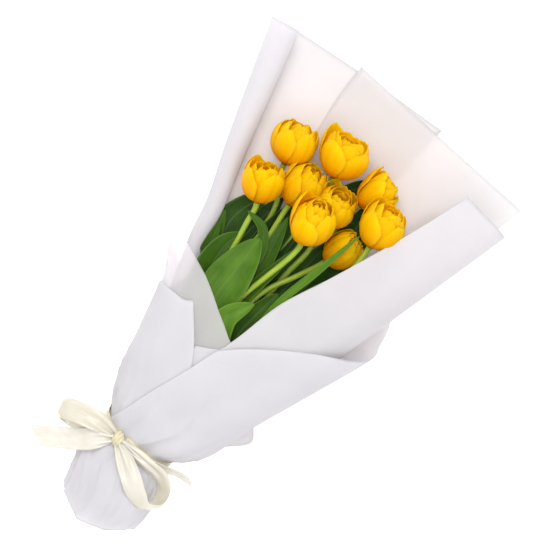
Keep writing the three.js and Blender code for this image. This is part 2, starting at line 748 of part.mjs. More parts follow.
// A flat strip of rectangular section swept along its route
function stripGeometry(piece) {
  const curve = smoothRoute(piece.route.map((stop) => stop[0]));
  const widthways = smoothRoute(piece.route.map((stop) => stop[1]));
  const pinch = curveThrough(piece.pinch.map((value, k) => [k / (piece.pinch.length - 1), value]));
  const rings = [];
  for (let k = 0; k <= piece.steps; k += 1) {
    const t = k / piece.steps;
    const centre = curve.getPoint(t);
    const forward = curve.getTangent(t);
    const across = widthways.getPoint(t);
    across.addScaledVector(forward, -across.dot(forward)).normalize();
    const out = forward.clone().cross(across);
    const w = (pinch(t) * RIBBON_WIDTH) / 2;
    const h = RIBBON_THICKNESS / 2;
    rings.push([[w, h], [-w, h], [-w, -h], [w, -h]].map(([a, b]) => (
      centre.clone().addScaledVector(across, a).addScaledVector(out, b))));
  }
  return loftGeometry(rings);
}

// The band's way round the waist, from the knot over the right side and back from below.
// Over the front sheet it keeps to that sheet's own columns.
function bandPath(y, depth) {
  const front = { ...SHEETS.wrap_lower_front, rank: 0 };
  const outside = depth - BAND_CLEARANCE - RIBBON_THICKNESS;
  const points = [];
  for (let column = 11; column >= 2; column -= 1) points.push(sheetPoint(front, column, y, outside));
  const { left, leftRadius, floor, leftTop } = crossSection(front, y, outside);
  const half = (leftTop - floor) / 2;
  for (let k = 0; k <= BAND_TURN_STEPS; k += 1) {
    const angle = radians(-90 + (180 * k) / BAND_TURN_STEPS);
    const x = left + leftRadius - leftRadius * Math.cos(angle);
    points.push(new THREE.Vector3(x, y, floor + half + half * Math.sin(angle)));
  }
  return points.map(tieDip);
}

function bandGeometry() {
  const face = (depth) => {
    const rows = [-BAND_HALF_WIDTH, 0, BAND_HALF_WIDTH].map((y) => bandPath(y, depth));
    return rows[0].map((_, k) => rows.map((row) => row[k]));
  };
  return bladeGeometry(face(0), face(RIBBON_THICKNESS));
}

function knotGeometry() {
  const ball = new THREE.SphereGeometry(1, 8, 5);
  ball.scale(8, 9.5, 4.6);
  ball.translate(KNOT.x, KNOT.y, KNOT.z);
  ball.deleteAttribute('normal');
  ball.deleteAttribute('uv');
  return mergeVertices(ball);
}

function ribbonMesh() {
  const strips = RIBBON_PARTS.map(stripGeometry);
  return part('ribbon_bow', fuse([bandGeometry(), knotGeometry(), ...strips]), 0xf6f0d6, 0.35);
}

const bunch = new THREE.Group();
bunch.add(...wrapSheets());
BLOOMS.forEach((bloom, k) => {
  bunch.add(bloomMesh(bloom, k + 1));
  bunch.add(stemMesh(STEMS[k], bloom, k + 1));
});
bunch.add(ribbonMesh());
bunch.position.set(-CENTRE_SHIFT.x, -CENTRE_SHIFT.y, 0);

export default bunch;
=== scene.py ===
"""Looks of a bunch of nine yellow double tulips, wrapped in translucent paper and tied
with a satin bow. Shapes are worked out in millimetres from the same formulas as the solids
and placed in the row frame in metres."""

from bisect import bisect_left
from collections import namedtuple
from math import atan2, copysign, cos, exp, pi, radians, sin, sqrt

import bpy
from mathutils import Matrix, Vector, noise

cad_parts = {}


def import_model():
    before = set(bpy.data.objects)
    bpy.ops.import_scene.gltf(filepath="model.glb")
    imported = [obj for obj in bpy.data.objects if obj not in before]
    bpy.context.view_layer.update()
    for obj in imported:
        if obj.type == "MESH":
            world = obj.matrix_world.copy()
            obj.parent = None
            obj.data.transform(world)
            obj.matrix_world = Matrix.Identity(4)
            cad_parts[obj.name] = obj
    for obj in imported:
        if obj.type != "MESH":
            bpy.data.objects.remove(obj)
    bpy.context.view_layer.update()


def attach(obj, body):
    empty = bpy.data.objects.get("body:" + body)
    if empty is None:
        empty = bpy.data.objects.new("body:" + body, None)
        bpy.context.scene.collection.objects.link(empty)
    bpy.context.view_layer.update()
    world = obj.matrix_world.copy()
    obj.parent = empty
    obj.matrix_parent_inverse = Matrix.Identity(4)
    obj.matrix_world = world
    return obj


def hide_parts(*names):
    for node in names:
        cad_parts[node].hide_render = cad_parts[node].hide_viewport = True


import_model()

# Driving sizes, in millimetres, as in the solids

PAPER = 0.7
PITCH = 2
CROWN = 5
WAIST_BOW = 13
WAIST_BOW_REACH = 35
WAIST_MIDDLE = 33
WAIST_HALF_HEIGHT = 27
FLARE_START = 95
STEM_RADIUS = 3.3
STEM_LEAD = 6
SEAT = 0.3
RIBBON_WIDTH = 24
BAND_HALF_WIDTH = 8
BAND_CLEARANCE = 0.8
RIBBON_SOLID = 0.9
ROW_SHIFT = Vector((7.9, -183.8, 0))

# Metres in a millimetre
MM = 0.001

# Thickness of the finer pieces
PAPER_SKIN = 0.2
PETAL_SKIN = 0.45
LEAF_SKIN = 0.7
RIBBON_SKIN = 0.3


# Small maths

def lerp(a, b, t):
    return a + (b - a) * t


def clamp(value, low, high):
    return max(low, min(high, value))


def smoothstep(low, high, value):
    t = clamp((value - low) / (high - low), 0, 1)
    return t * t * (3 - 2 * t)


def across_steps(count):
    """Even places across a strip, from -1 to 1."""
    return [2 * i / count - 1 for i in range(count + 1)]


def round_point(radius, angle, z):
    """The point at a radius and an angle round the z axis."""
    return Vector((radius * cos(angle), radius * sin(angle), z))


def turned(sides, rows, at):
    """Closed columns of points round an axis; at takes an angle and a share of the length."""
    angles = [2 * pi * i / sides for i in range(sides)]
    return [[at(angle, j / rows) for j in range(rows + 1)] for angle in angles]


def curve_through(stations):
    """A smooth curve through [position, value] stations that never overshoots them."""
    at = [s[0] for s in stations]
    value = [s[1] for s in stations]
    last = len(at) - 1

    def slope(k):
        return (value[k + 1] - value[k]) / (at[k + 1] - at[k])

    tangent = []
    for k in range(last + 1):
        if k in (0, last):
            tangent.append(slope(0 if k == 0 else last - 1))
            continue
        before, after = slope(k - 1), slope(k)
        if before * after <= 0:
            tangent.append(0)
            continue
        limit = 3 * min(abs(before), abs(after))
        tangent.append(copysign(min(abs(before + after) / 2, limit), before))

    def evaluate(position):
        p = clamp(position, at[0], at[last])
        k = 0
        while k < last - 1 and p > at[k + 1]:
            k += 1
        span = at[k + 1] - at[k]
        t = (p - at[k]) / span
        from_start = value[k] * (1 + 2 * t) + tangent[k] * span * t
        from_end = value[k + 1] * (3 - 2 * t) - tangent[k + 1] * span * (1 - t)
        return from_start * (1 - t) * (1 - t) + from_end * t * t

    return evaluate


def straight_through(stations):
    """Straight runs through [position, value] stations."""
    def evaluate(position):
        for before, after in zip(stations, stations[1:]):
            if position < after[0]:
                break
        t = clamp((position - before[0]) / (after[0] - before[0]), 0, 1)
        return lerp(before[1], after[1], t)

    return evaluate


def seeded_spread(seed):
    """Repeatable random numbers between -1 and 1."""
    state = seed * 7919 + 13

    def draw():
        nonlocal state
        state = (state * 48271) % 2147483647
        return 2 * state / 2147483647 - 1

    return draw


class Route:
    """A centripetal Catmull-Rom curve through points, as the solids use."""

    SAMPLES = 200

    def __init__(self, points):
        self.points = [Vector(p) for p in points]
        self.lengths = [0]
        before = self.point(0)
        for k in range(1, self.SAMPLES + 1):
            here = self.point(k / self.SAMPLES)
            self.lengths.append(self.lengths[-1] + (here - before).length)
            before = here

    def point(self, t):
        points = self.points
        count = len(points)
        place = (count - 1) * t
        k = min(int(place), count - 2)
        weight = place - k
        p1, p2 = points[k], points[k + 1]
        p0 = points[k - 1] if k > 0 else 2 * p1 - p2
        p3 = points[k + 2] if k + 2 < count else 2 * p2 - p1
        middle = (p2 - p1).length_squared ** 0.25 or 1
        first = (p1 - p0).length_squared ** 0.25 or middle
        third = (p3 - p2).length_squared ** 0.25 or middle
        leave = (p1 - p0) / first - (p2 - p0) / (first + middle) + (p2 - p1) / middle
        arrive = (p2 - p1) / middle - (p3 - p1) / (middle + third) + (p3 - p2) / third
        leave, arrive = leave * middle, arrive * middle
        square = -3 * p1 + 3 * p2 - 2 * leave - arrive
        cube = 2 * p1 - 2 * p2 + leave + arrive
        return p1 + leave * weight + square * weight ** 2 + cube * weight ** 3

    def tangent(self, t):
        step = 0.0001
        return (self.point(min(t + step, 1)) - self.point(max(t - step, 0))).normalized()

    def share(self, s):
        """The curve's own parameter at the share s of its length."""
        target = s * self.lengths[-1]
        high = max(1, bisect_left(self.lengths, target))
        low = high - 1
        span = self.lengths[high] - self.lengths[low]
        return (low + (target - self.lengths[low]) / span) / self.SAMPLES

    def point_at(self, s):
        return self.point(self.share(s))

    def tangent_at(self, s):
        return self.tangent(self.share(s))


# Node materials

BLACK = (0.0, 0.0, 0.0)
WHITE = (1.0, 1.0, 1.0)


class Shader:
    """Wires one node material."""

    def __init__(self, name):
        self.material = bpy.data.materials.new(name)
        self.material.use_nodes = True
        self.tree = self.material.node_tree
        self.tree.nodes.clear()

    def node(self, kind, inputs=None, **settings):
        node = self.tree.nodes.new(kind)
        for key, value in settings.items():
            setattr(node, key, value)
        for key, value in (inputs or {}).items():
            if isinstance(value, bpy.types.NodeSocket):
                self.tree.links.new(value, node.inputs[key])
            else:
                node.inputs[key].default_value = value
        return node

    def place(self):
        """The point itself, in metres in the row frame."""
        return self.node("ShaderNodeTexCoord").outputs["Object"]

    def uv(self):
        """Across and along a blade, each from 0 to 1."""
        node = self.node("ShaderNodeSeparateXYZ", {0: self.node("ShaderNodeUVMap").outputs[0]})
        return node.outputs[0], node.outputs[1]

    def tone(self):
        """A number from 0 to 1 for each blade: random on the stems, and on the leaves, petals and ribbon
        partly painted light and shade.
        """
        return self.node("ShaderNodeAttribute", attribute_name="tone").outputs["Fac"]

    def math(self, operation, a, b=0.0):
        return self.node("ShaderNodeMath", {0: a, 1: b}, operation=operation).outputs[0]

    def add(self, a, b):
        return self.math("ADD", a, b)

    def multiply(self, a, b):
        return self.math("MULTIPLY", a, b)

    def off_middle(self, across):
        """How far from the keel of a blade, up to 0.5 at its rims."""
        return self.math("ABSOLUTE", self.math("SUBTRACT", across, 0.5))

    def noise(self, vector, scale, detail=3.0, roughness=0.5):
        inputs = {"Vector": vector, "Scale": scale, "Detail": detail, "Roughness": roughness}
        return self.node("ShaderNodeTexNoise", inputs).outputs["Fac"]

    def streaks(self, blade, scales, seed, detail, roughness=0.5):
        """Noise with a scale of its own across and along a blade."""
        across, along = [self.multiply(part, scale) for part, scale in zip(blade, scales)]
        spread = self.node("ShaderNodeCombineXYZ", {0: across, 1: along, 2: seed})
        return self.noise(spread.outputs[0], 1.0, detail, roughness)

    def ramp(self, factor, stops):
        node = self.node("ShaderNodeValToRGB", {0: factor})
        elements = node.color_ramp.elements
        while len(elements) < len(stops):
            elements.new(0.5)
        for element, (position, colour) in zip(elements, stops):
            element.position = position
            element.color = (*colour, 1)
        return node.outputs[0]

    def rising(self, factor, start, end):
        """Black up to start and white from end on."""
        return self.ramp(factor, [(start, BLACK), (end, WHITE)])

    def falling(self, factor, start, end):
        """White up to start and black from end on."""
        return self.ramp(factor, [(start, WHITE), (end, BLACK)])

    def mix(self, factor, a, b, blend="MIX"):
        a, b = [(*value, 1) if isinstance(value, tuple) else value for value in (a, b)]
        inputs = {0: factor, 6: a, 7: b}
        return self.node("ShaderNodeMix", inputs, data_type="RGBA", blend_type=blend).outputs[2]

    def bump(self, height, strength, distance):
        inputs = {"Height": height, "Strength": strength, "Distance": distance}
        return self.node("ShaderNodeBump", inputs).outputs[0]

    def shaded(self, colour, amount, factor, stops):
        """Darkens a colour by a share of a ramp."""
        return self.mix(amount, colour, self.ramp(factor, stops), "MULTIPLY")

    def finish(self, inputs, translucent=0.0, colour=None, normal=None):
        """Ends the material, letting a share of the light through it where asked."""
        shader = self.node("ShaderNodeBsdfPrincipled", inputs).outputs[0]
        if translucent:
            through = {"Color": colour} if normal is None else {"Color": colour, "Normal": normal}
            glow = self.node("ShaderNodeBsdfTranslucent", through).outputs[0]
            both = self.node("ShaderNodeMixShader", {0: translucent, 1: shader, 2: glow})
            shader = both.outputs[0]
        self.node("ShaderNodeOutputMaterial", {0: shader})
        return self.material


# The middle of the flowers, in metres in the row frame, round which the paper is painted with the warm
# light they throw
FLOWERS = (0.01, 0.15, 0.03)


def paper_material(name, light, shade, translucent, alpha, painted_warm_light=0.0):
    """Vellum-like paper: cloudy fibres, a fine tooth, soft mottling and a painted warm glow by the flowers,
    standing in for the light they throw.
    """
    s = Shader(name)
    place = s.place()
    clouds = s.noise(place, 16.0, 3.0, 0.55)
    fibres = s.noise(place, 900.0, 4.0, 0.65)
    tooth = s.noise(place, 2600.0, 2.0, 0.5)
    colour = s.ramp(clouds, [(0.3, shade), (0.7, light)])
    pale = s.ramp(fibres, [(0.35, BLACK), (0.75, (0.14, 0.14, 0.14))])
    colour = s.mix(pale, colour, WHITE)
    if painted_warm_light:
        # Painted light: the paper turns peach near the flowers, as if lit by the yellow light they throw.
        away = s.node("ShaderNodeVectorMath", {0: place, 1: FLOWERS}, operation="DISTANCE")
        near = s.falling(s.multiply(away.outputs["Value"], 5.0), 0.2, 0.9)
        colour = s.mix(s.multiply(near, painted_warm_light), colour, (1.0, 0.87, 0.8))
    height = s.add(s.multiply(fibres, 0.6), s.multiply(tooth, 0.4))
    normal = s.bump(height, 0.25, 0.0002)
    return s.finish({
        "Base Color": colour, "Roughness": 0.62, "Specular IOR Level": 0.3, "Alpha": alpha,
        "Normal": normal,
    }, translucent, colour, normal)


def petal_material():
    """Silky petals: orange at the claw, partly painted shade, lengthwise veins, and a painted highlight
    that pales the rim towards the tip.
    """
    s = Shader("petal_silk")
    blade = s.uv()
    across, along = blade
    tone = s.tone()
    seed = s.multiply(tone, 37.0)
    veins = s.streaks(blade, (34.0, 1.6), seed, 3.0, 0.6)
    blotch = s.streaks(blade, (2.5, 2.5), seed, 2.0)
    rise = s.add(along, s.multiply(s.math("SUBTRACT", blotch, 0.5), 0.35))
    # Orange low on each petal, yellow towards the tip: partly the petal's own colour, partly painted shade
    # low in the cup.
    colour = s.ramp(rise, [
        (0.0, (0.7, 0.36, 0.0)), (0.1, (1.0, 0.44, 0.0)), (0.4, (1.0, 0.63, 0.0)),
        (0.75, (1.0, 0.78, 0.0)), (1.0, (1.0, 0.87, 0.01)),
    ])
    # A painted highlight: the rims are mixed towards a paler yellow, more so towards the tip.
    rim = s.rising(s.off_middle(across), 0.3, 0.5)
    colour = s.mix(s.multiply(rim, s.multiply(along, 0.8)), colour, (1.0, 0.8, 0.02))
    colour = s.shaded(colour, 0.5, veins, [(0.36, (0.97, 0.87, 0.6)), (0.6, WHITE)])
    # Painted shade: inner petals carry a lower tone and are painted warmer and darker, as the shade in the
    # hollow of the cup.
    painted_warm_light = [(0.2, (1.0, 0.82, 0.5)), (0.5, (1.0, 0.93, 0.8)), (1.0, WHITE)]
    colour = s.shaded(colour, 1.0, tone, painted_warm_light)
    normal = s.bump(s.add(veins, s.multiply(blotch, 0.5)), 0.35, 0.0006)
    glow = s.mix(0.3, colour, (1.0, 0.46, 0.0))
    return s.finish({
        "Base Color": colour, "Roughness": 0.48, "Specular IOR Level": 0.3,
        "Specular Tint": (1.0, 0.8, 0.2, 1.0), "Normal": normal,
    }, 0.5, glow, normal)


def leaf_material():
    """Waxy blades with parallel veins and a paler keel, rims and root."""
    s = Shader("leaf_wax")
    blade = s.uv()
    across, along = blade
    tone = s.tone()
    seed = s.multiply(tone, 53.0)
    veins = s.streaks(blade, (42.0, 0.9), seed, 2.0)
    mottle = s.streaks(blade, (3.0, 7.0), seed, 3.0, 0.55)
    deep_and_shaded = s.ramp(mottle, [(0.3, (0.014, 0.052, 0.004)), (0.7, (0.03, 0.095, 0.007))])
    fresh_and_lit = s.ramp(mottle, [(0.3, (0.095, 0.22, 0.012)), (0.7, (0.15, 0.31, 0.022))])
    # Partly painted light and shade: the leaves that fill the shaded gaps between the stems get mostly the
    # deep green, and the most lit ones the light green.
    colour = s.mix(tone, deep_and_shaded, fresh_and_lit)
    colour = s.shaded(colour, 0.75, veins, [(0.35, (0.74, 0.8, 0.7)), (0.62, WHITE)])
    offset = s.off_middle(across)
    keel = s.falling(offset, 0.0, 0.035)
    colour = s.mix(s.multiply(keel, 0.3), colour, (0.17, 0.34, 0.05))
    rim = s.rising(offset, 0.47, 0.5)
    colour = s.mix(s.multiply(rim, 0.35), colour, (0.24, 0.4, 0.08))
    root = s.falling(along, 0.0, 0.16)
    colour = s.mix(s.multiply(root, 0.5), colour, (0.22, 0.38, 0.06))
    normal = s.bump(veins, 0.4, 0.0005)
    return s.finish({
        "Base Color": colour, "Roughness": 0.42, "Specular IOR Level": 0.13,
        "Coat Weight": 0.02, "Coat Roughness": 0.35, "Normal": normal,
    }, 0.12, colour, normal)


def stem_material():
    """Smooth, pale, cloudy stems with faint lengthwise lines."""
    s = Shader("stem_skin")
    blade = s.uv()
    tone = s.tone()
    lines = s.streaks(blade, (30.0, 5.0), tone, 3.0, 0.6)
    clouds = s.streaks(blade, (3.0, 14.0), tone, 2.0)
    colour = s.ramp(clouds, [(0.3, (0.24, 0.37, 0.022)), (0.7, (0.37, 0.51, 0.036))])
    colour = s.shaded(colour, 0.5, lines, [(0.35, (0.75, 0.8, 0.65)), (0.65, WHITE)])
    normal = s.bump(lines, 0.3, 0.0004)
    return s.finish({
        "Base Color": colour, "Roughness": 0.4, "Specular IOR Level": 0.45, "Normal": normal,
    })


def anther_material():
    """Grainy green anthers."""
    s = Shader("stamen")
    grain = s.noise(s.place(), 1800.0, 3.0, 0.6)
    colour = s.ramp(grain, [(0.35, (0.16, 0.2, 0.02)), (0.65, (0.42, 0.5, 0.08))])
    return s.finish({
        "Base Color": colour, "Roughness": 0.7, "Normal": s.bump(grain, 0.5, 0.0004),
    })


def satin_material():
    """Cream satin: a soft sheen along the strip, partly painted, fine threads and firmer woven edges, with
    each part painted lighter or yellower for how it is lit.
    """
    s = Shader("ribbon_satin")
    blade = s.uv()
    threads = s.streaks(blade, (150.0, 6.0), 0.0, 2.0)
    sheen = s.streaks(blade, (4.0, 9.0), 3.0, 2.0)
    # Painted light: each part of the one strip has its own tone, so the tails and the right loop are
    # painted paler, as where more light falls, and the knot yellower, as the shade in its tight folds.
    colour = s.ramp(s.tone(), [
        (0.0, (0.87, 0.8, 0.57)), (0.5, (0.84, 0.805, 0.71)), (1.0, (0.93, 0.905, 0.85)),
    ])
    # A painted sheen: the sheen noise also makes the colour lighter and darker in soft bands along the
    # strip.
    colour = s.shaded(colour, 1.0, sheen, [(0.3, (0.93, 0.92, 0.88)), (0.7, WHITE)])
    colour = s.shaded(colour, 0.5, threads, [(0.35, (0.93, 0.92, 0.86)), (0.65, WHITE)])
    edge = s.ramp(s.off_middle(blade[0]), [(0.455, BLACK), (0.47, WHITE), (0.5, (0.4, 0.4, 0.4))])
    height = s.add(s.multiply(threads, 0.5), edge)
    height = s.add(height, s.multiply(sheen, 14.0))
    roughness = s.add(s.multiply(threads, 0.12), 0.16)
    return s.finish({
        "Base Color": colour, "Roughness": roughness, "Specular IOR Level": 1.0,
        "Sheen Weight": 0.3, "Sheen Roughness": 0.3, "Normal": s.bump(height, 0.3, 0.0002),
    }, 0.28, colour)


MATERIALS = {
    # The inside paper is painted lighter and warmer than the outside: painted light that offsets the shade
    # inside the wrap and stands in for the warm light the flowers throw.
    "paper_out": paper_material("paper_outside", (0.82, 0.805, 0.84), (0.785, 0.77, 0.81), 0.42, 0.97),
    "paper_in": paper_material("paper_inside", (0.88, 0.86, 0.86), (0.85, 0.825, 0.82), 0.42, 0.97, 0.5),
    "paper_sheer": paper_material("paper_single", (0.88, 0.835, 0.87), (0.83, 0.785, 0.82), 0.06, 0.34),
    "petal": petal_material(),
    "leaf": leaf_material(),
    "stem": stem_material(),
    "anther": anther_material(),
    "ribbon": satin_material(),
}


# Meshes from grids of points

def placed(name, data):
    """Puts a new object into the scene."""
    piece = bpy.data.objects.new(name, data)
    bpy.context.scene.collection.objects.link(piece)
    return piece


class Sculpt:
    """Gathers grids of points into one mesh, with a UV place and a tone for each blade."""

    def __init__(self):
        self.vertices = []
        self.faces = []
        self.corners = []
        self.slots = []
        self.tones = []

    def add(self, points, tone):
        """Adds vertices and gives the number of the first."""
        start = len(self.vertices)
        self.vertices += [(p + ROW_SHIFT) * MM for p in points]
        self.tones += [tone] * len(points)
        return start

    def grid(self, points, tone=0.5, slot=0, closed=False):
        """Adds points[column][row]; closed joins the last column to the first."""
        start = self.add([p for column in points for p in column], tone)
        columns, rows = len(points), len(points[0])
        spans = columns if closed else columns - 1
        for i in range(spans):
            k = (i + 1) % columns
            for j in range(rows - 1):
                a, b = start + i * rows + j, start + k * rows + j
                self.faces.append((a, b, b + 1, a + 1))
                u0, u1 = i / spans, (i + 1) / spans
                v0, v1 = j / (rows - 1), (j + 1) / (rows - 1)
                self.corners += [u0, v0, u1, v0, u1, v1, u0, v1]
                self.slots.append(slot)

    def cap(self, ring, tone):
        """Closes a ring of points with a fan."""
        count = len(ring)
        start = self.add([*ring, sum(ring, Vector()) / count], tone)
        for i in range(count):
            self.faces.append((start + i, start + (i + 1) % count, start + count))
            self.corners += [0.5, 0.0, 0.5, 0.0, 0.5, 0.0]
            self.slots.append(0)

    def piece(self, name, materials, slot, node, skin=0, skin_slot=0):
        """Makes the object, and thickens a thin sheet by its skin in millimetres."""
        mesh = bpy.data.meshes.new(name)
        mesh.from_pydata(self.vertices, [], self.faces)
        mesh.uv_layers.new(name="UVMap").data.foreach_set("uv", self.corners)
        mesh.attributes.new("tone", "FLOAT", "POINT").data.foreach_set("value", self.tones)
        for material in materials:
            mesh.materials.append(material)
        mesh.polygons.foreach_set("material_index", self.slots)
        mesh.shade_smooth()
        mesh.update()
        piece = placed(name, mesh)
        if skin:
            solid = piece.modifiers.new("skin", "SOLIDIFY")
            solid.thickness = skin * MM
            solid.offset = 0
            solid.material_offset = skin_slot
        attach(piece, "root")
        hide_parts(node)
        return piece


# The wrap: nested sheets that share one cross-section along the bunch

left_side = curve_through([
    [-112, -28], [-98, -31], [-75, -38], [-50, -45], [-20, -47], [-8, -45], [0, -44.5], [8, -46],
    [17, -52], [42, -65], [100, -81], [157, -99], [201, -123],
])
right_side = curve_through([
    [-112, 57], [-98, 61], [-75, 64], [-50, 62], [-20, 53], [-8, 46.5], [0, 45.5], [8, 48],
    [17, 58], [35, 71], [60, 81], [85, 89.5], [205, 119], [428, 174], [478, 186],
])
left_round = curve_through([
    [-112, 24], [-50, 29], [0, 27], [35, 32], [95, 37], [144, 36], [180, 33], [205, 30],
])
right_round = curve_through([
    [-112, 24], [-50, 29], [0, 27], [35, 32], [95, 37], [205, 38], [350, 41], [390, 38],
    [435, 29], [478, 24],
])
waist_lift = curve_through([[-45, 0], [-10, 4], [10, 4], [45, 0]])
stacking = curve_through([[-112, 0.8], [100, 0.9], [200, 0.72], [262, 0.56], [330, 0]])
skirt_end = straight_through([
    [-40, -80], [-31, -97], [4, -112], [40, -102], [62, -81], [66, -66],
])

# columns are those of a sheet's back, round side and front, side is -1 on the left, level is the
# place in the nest, rank the place in the stack under the flowers and rest the floor beyond it.
# Edges are [y, x] stations and top edges [column, y] ones. turn is how far round its side a sheet
# goes in degrees, spread how far its side stands out, and slump how much of its height it loses
SHEETS = {
    "wrap_lower_front": {
        "side": 1, "level": 0, "rank": 1, "columns": (2, 6, 6), "upper_rows": 4,
        "right": [
            [-112, 57], [-98, 61], [-75, 64], [-50, 62], [-20, 53], [-8, 46.5], [0, 45.5],
            [8, 48.5], [17, 61], [35, 74], [60, 83], [85, 90.5], [144, 112.5], [203, 134.5],
            [234, 146], [270, 153],
        ],
        "back_edge": [[-112, -2], [0, -4], [100, 4], [225, 40], [268, 60]],
        "front_edge": [[-112, -20], [-50, -36], [0, -38], [29, -28.5], [95, -5], [129.5, 5.5]],
        "top_edge": [
            [0, 225], [2, 276], [3, 280], [4, 246], [5, 232], [6.5, 217], [8, 199], [14, 129.5],
        ],
        "slump": [[205, 0], [240, 0.7], [280, 0.8]],
    },
    "wrap_left_outer": {
        "side": -1, "level": 1, "rank": 0, "columns": (3, 6, 3), "upper_rows": 3,
        "back_edge": [
            [-112, 14], [0, 15], [9, 16], [20, 48], [35, 74], [49, 83], [73, 102.5], [87, 93],
            [112, 70],
        ],
        "front_edge": [[-112, 5], [60, 5], [95, -2], [118, -16.5], [155.5, -49.5]],
        "top_edge": [[0, 112], [3, 128], [6, 148], [9, 149], [12, 155.5]],
    },
    "wrap_right_flap": {
        "side": 1, "level": 2, "rank": 2, "columns": (2, 6, 4), "upper_rows": 9,
        "back_edge": [[-112, 2], [0, 2], [205, 45], [300, 62], [430, 100]],
        "front_edge": [
            [-112, -14], [0, -18], [60, -30], [118, -16.5], [132, 6.5], [146, 11.5], [213.5, 26.6],
            [267.5, 49], [368, 86.8], [435, 108.8],
        ],
        "top_edge": [[0, 400], [2, 425], [5, 428], [8, 431], [12, 435]],
    },
    "wrap_left_inner": {
        "side": -1, "level": 3, "rank": 3, "columns": (2, 8, 4), "upper_rows": 4, "sheer": True,
        "spread": [[100, 0], [157, 2], [201, 5.4]],
        "back_edge": [[-112, 6], [0, 8], [150, 10]],
        "front_edge": [[-112, 8], [0, 8], [35, 10], [95, 22], [138, 30]],
        "top_edge": [
            [0, 150], [2, 168], [6, 201], [8, 206], [10, 200], [11, 184.5], [12, 164], [13, 148.5],
            [14, 137.2],
        ],
    },
    "wrap_back_left": {
        "side": -1, "level": 4, "rank": 4, "rest": 0, "columns": (4, 7, 0), "upper_rows": 9,
        "left": [
            [-112, -19], [-98, -22], [-75, -29], [-50, -36], [-20, -38], [-8, -36], [0, -35.5],
            [8, -37], [17, -43], [42, -56], [100, -66.5], [157, -83], [211, -102], [247, -111],
            [312, -136.5], [387, -163.5], [452, -186.5], [478, -196],
        ],
        "left_round": [
            [-112, 16], [-50, 21], [0, 19], [35, 24], [100, 24.4], [157, 18], [211, 11.5],
            [312, 14.5], [387, 17], [452, 19],
        ],
        "turn": [[-112, 110], [60, 110], [150, 130], [188, 232], [211, 242], [452, 252]],
        "back_edge": [[-112, 12], [0, 12], [205, 30], [478, 41]],
        "top_edge": [[0, 478.7], [2.2, 470], [4, 459], [7.5, 452.4], [11, 459.5]],
    },
    "wrap_back_right": {
        "side": 1, "level": 5, "rank": 5, "rest": 2.5, "columns": (5, 3, 0), "upper_rows": 9,
        "turn": [[-112, 130], [60, 130], [205, 90], [350, 60], [475, 40]],
        "back_edge": [[-112, -4], [-50, -11], [0, -13], [205, -30], [424, -72], [475.5, -75]],
        "top_edge": [[0, 475.5], [5, 467.5], [8, 466]],
    },
}

for sheet_shape in SHEETS.values():
    for key, value in sheet_shape.items():
        if isinstance(value, list):
            sheet_shape[key] = curve_through(value)


Section = namedtuple("Section", "left right left_radius right_radius floor left_top right_top")


def cross_section(sheet, y, depth):
    """The cross-section of one sheet at y, inset by its depth in the stack."""
    nest = sheet["level"] * PITCH
    inset = nest + depth
    lift = waist_lift(y)
    stack = stacking(y)
    bottom = lift + sheet["rank"] * PITCH * stack + sheet.get("rest", 0) * (1 - stack)
    top = lift + PITCH - inset
    if "left" in sheet:
        own_round = sheet["left_round"](y)
        left = sheet["left"](y) + depth
        left_radius = own_round - depth
        left_top = bottom + 2 * own_round - depth
    else:
        left = left_side(y) + inset - (sheet["spread"](y) if "spread" in sheet else 0)
        left_radius = left_round(y) - inset
        left_top = top + 2 * left_round(y)
    right = (sheet["right"](y) if "right" in sheet else right_side(y) - nest) - depth
    right_radius = right_round(y) - inset
    right_top = top + 2 * right_round(y)
    return Section(left, right, left_radius, right_radius, bottom + depth, left_top, right_top)


def front_height(section, x):
    """Height of the front of the wrap above x."""
    floor = section.floor
    a = section.left + section.left_radius
    b = section.right - section.right_radius

    def rounded(top, radius, past):
        half = (top - floor) / 2
        return floor + half + half * sqrt(max(0, 1 - (past / radius) ** 2))

    if x < a:
        return rounded(section.left_top, section.left_radius, a - x)
    if x > b:
        return rounded(section.right_top, section.right_radius, x - b)
    crown = CROWN * sin(pi * (x - a) / (b - a)) ** 2
    return lerp(section.left_top, section.right_top, smoothstep(a, b, x)) + crown


def sheet_point(sheet, column, y, depth):
    """One point of a sheet: along the back, round its side and over the front."""
    section = cross_section(sheet, y, depth)
    back, round_columns, front = sheet["columns"]
    sign, floor = sheet["side"], section.floor
    if sign > 0:
        radius, top = section.right_radius, section.right_top
        anchor = section.right - radius
    else:
        radius, top = section.left_radius, section.left_top
        anchor = section.left + radius
    if column <= back:
        return Vector((lerp(sheet["back_edge"](y), anchor, column / back), y, floor))
    if column <= back + round_columns:
        turn = sheet["turn"](y) if "turn" in sheet else 180
        angle = radians(-90 + turn * (column - back) / round_columns)
        half = (top - floor) / 2
        x = anchor + sign * radius * cos(angle)
        rise = half + half * sin(angle)
        if "slump" in sheet:
            rise *= 1 - sheet["slump"](y)
        return Vector((x, y, floor + rise))
    x = lerp(anchor, sheet["front_edge"](y), (column - back - round_columns) / front)
    return Vector((x, y, front_height(section, x)))


def tie_dip(point):
    """The tie pulls the front of the paper towards the cut ends."""
    front = clamp((point.z - WAIST_MIDDLE) / WAIST_HALF_HEIGHT, 0, 1)
    point.y -= WAIST_BOW * front * exp(-((point.y / WAIST_BOW_REACH) ** 2))
    return point


# The tie gathers all sheets alike into pleats that run out from the waist

pleat_depth = curve_through([
    [-112, 0.5], [-60, 1.2], [-26, 1.6], [-10, 0.35], [0, 0.2], [10, 0.35], [26, 1.4], [55, 1.0],
    [110, 0.35], [190, 0],
])
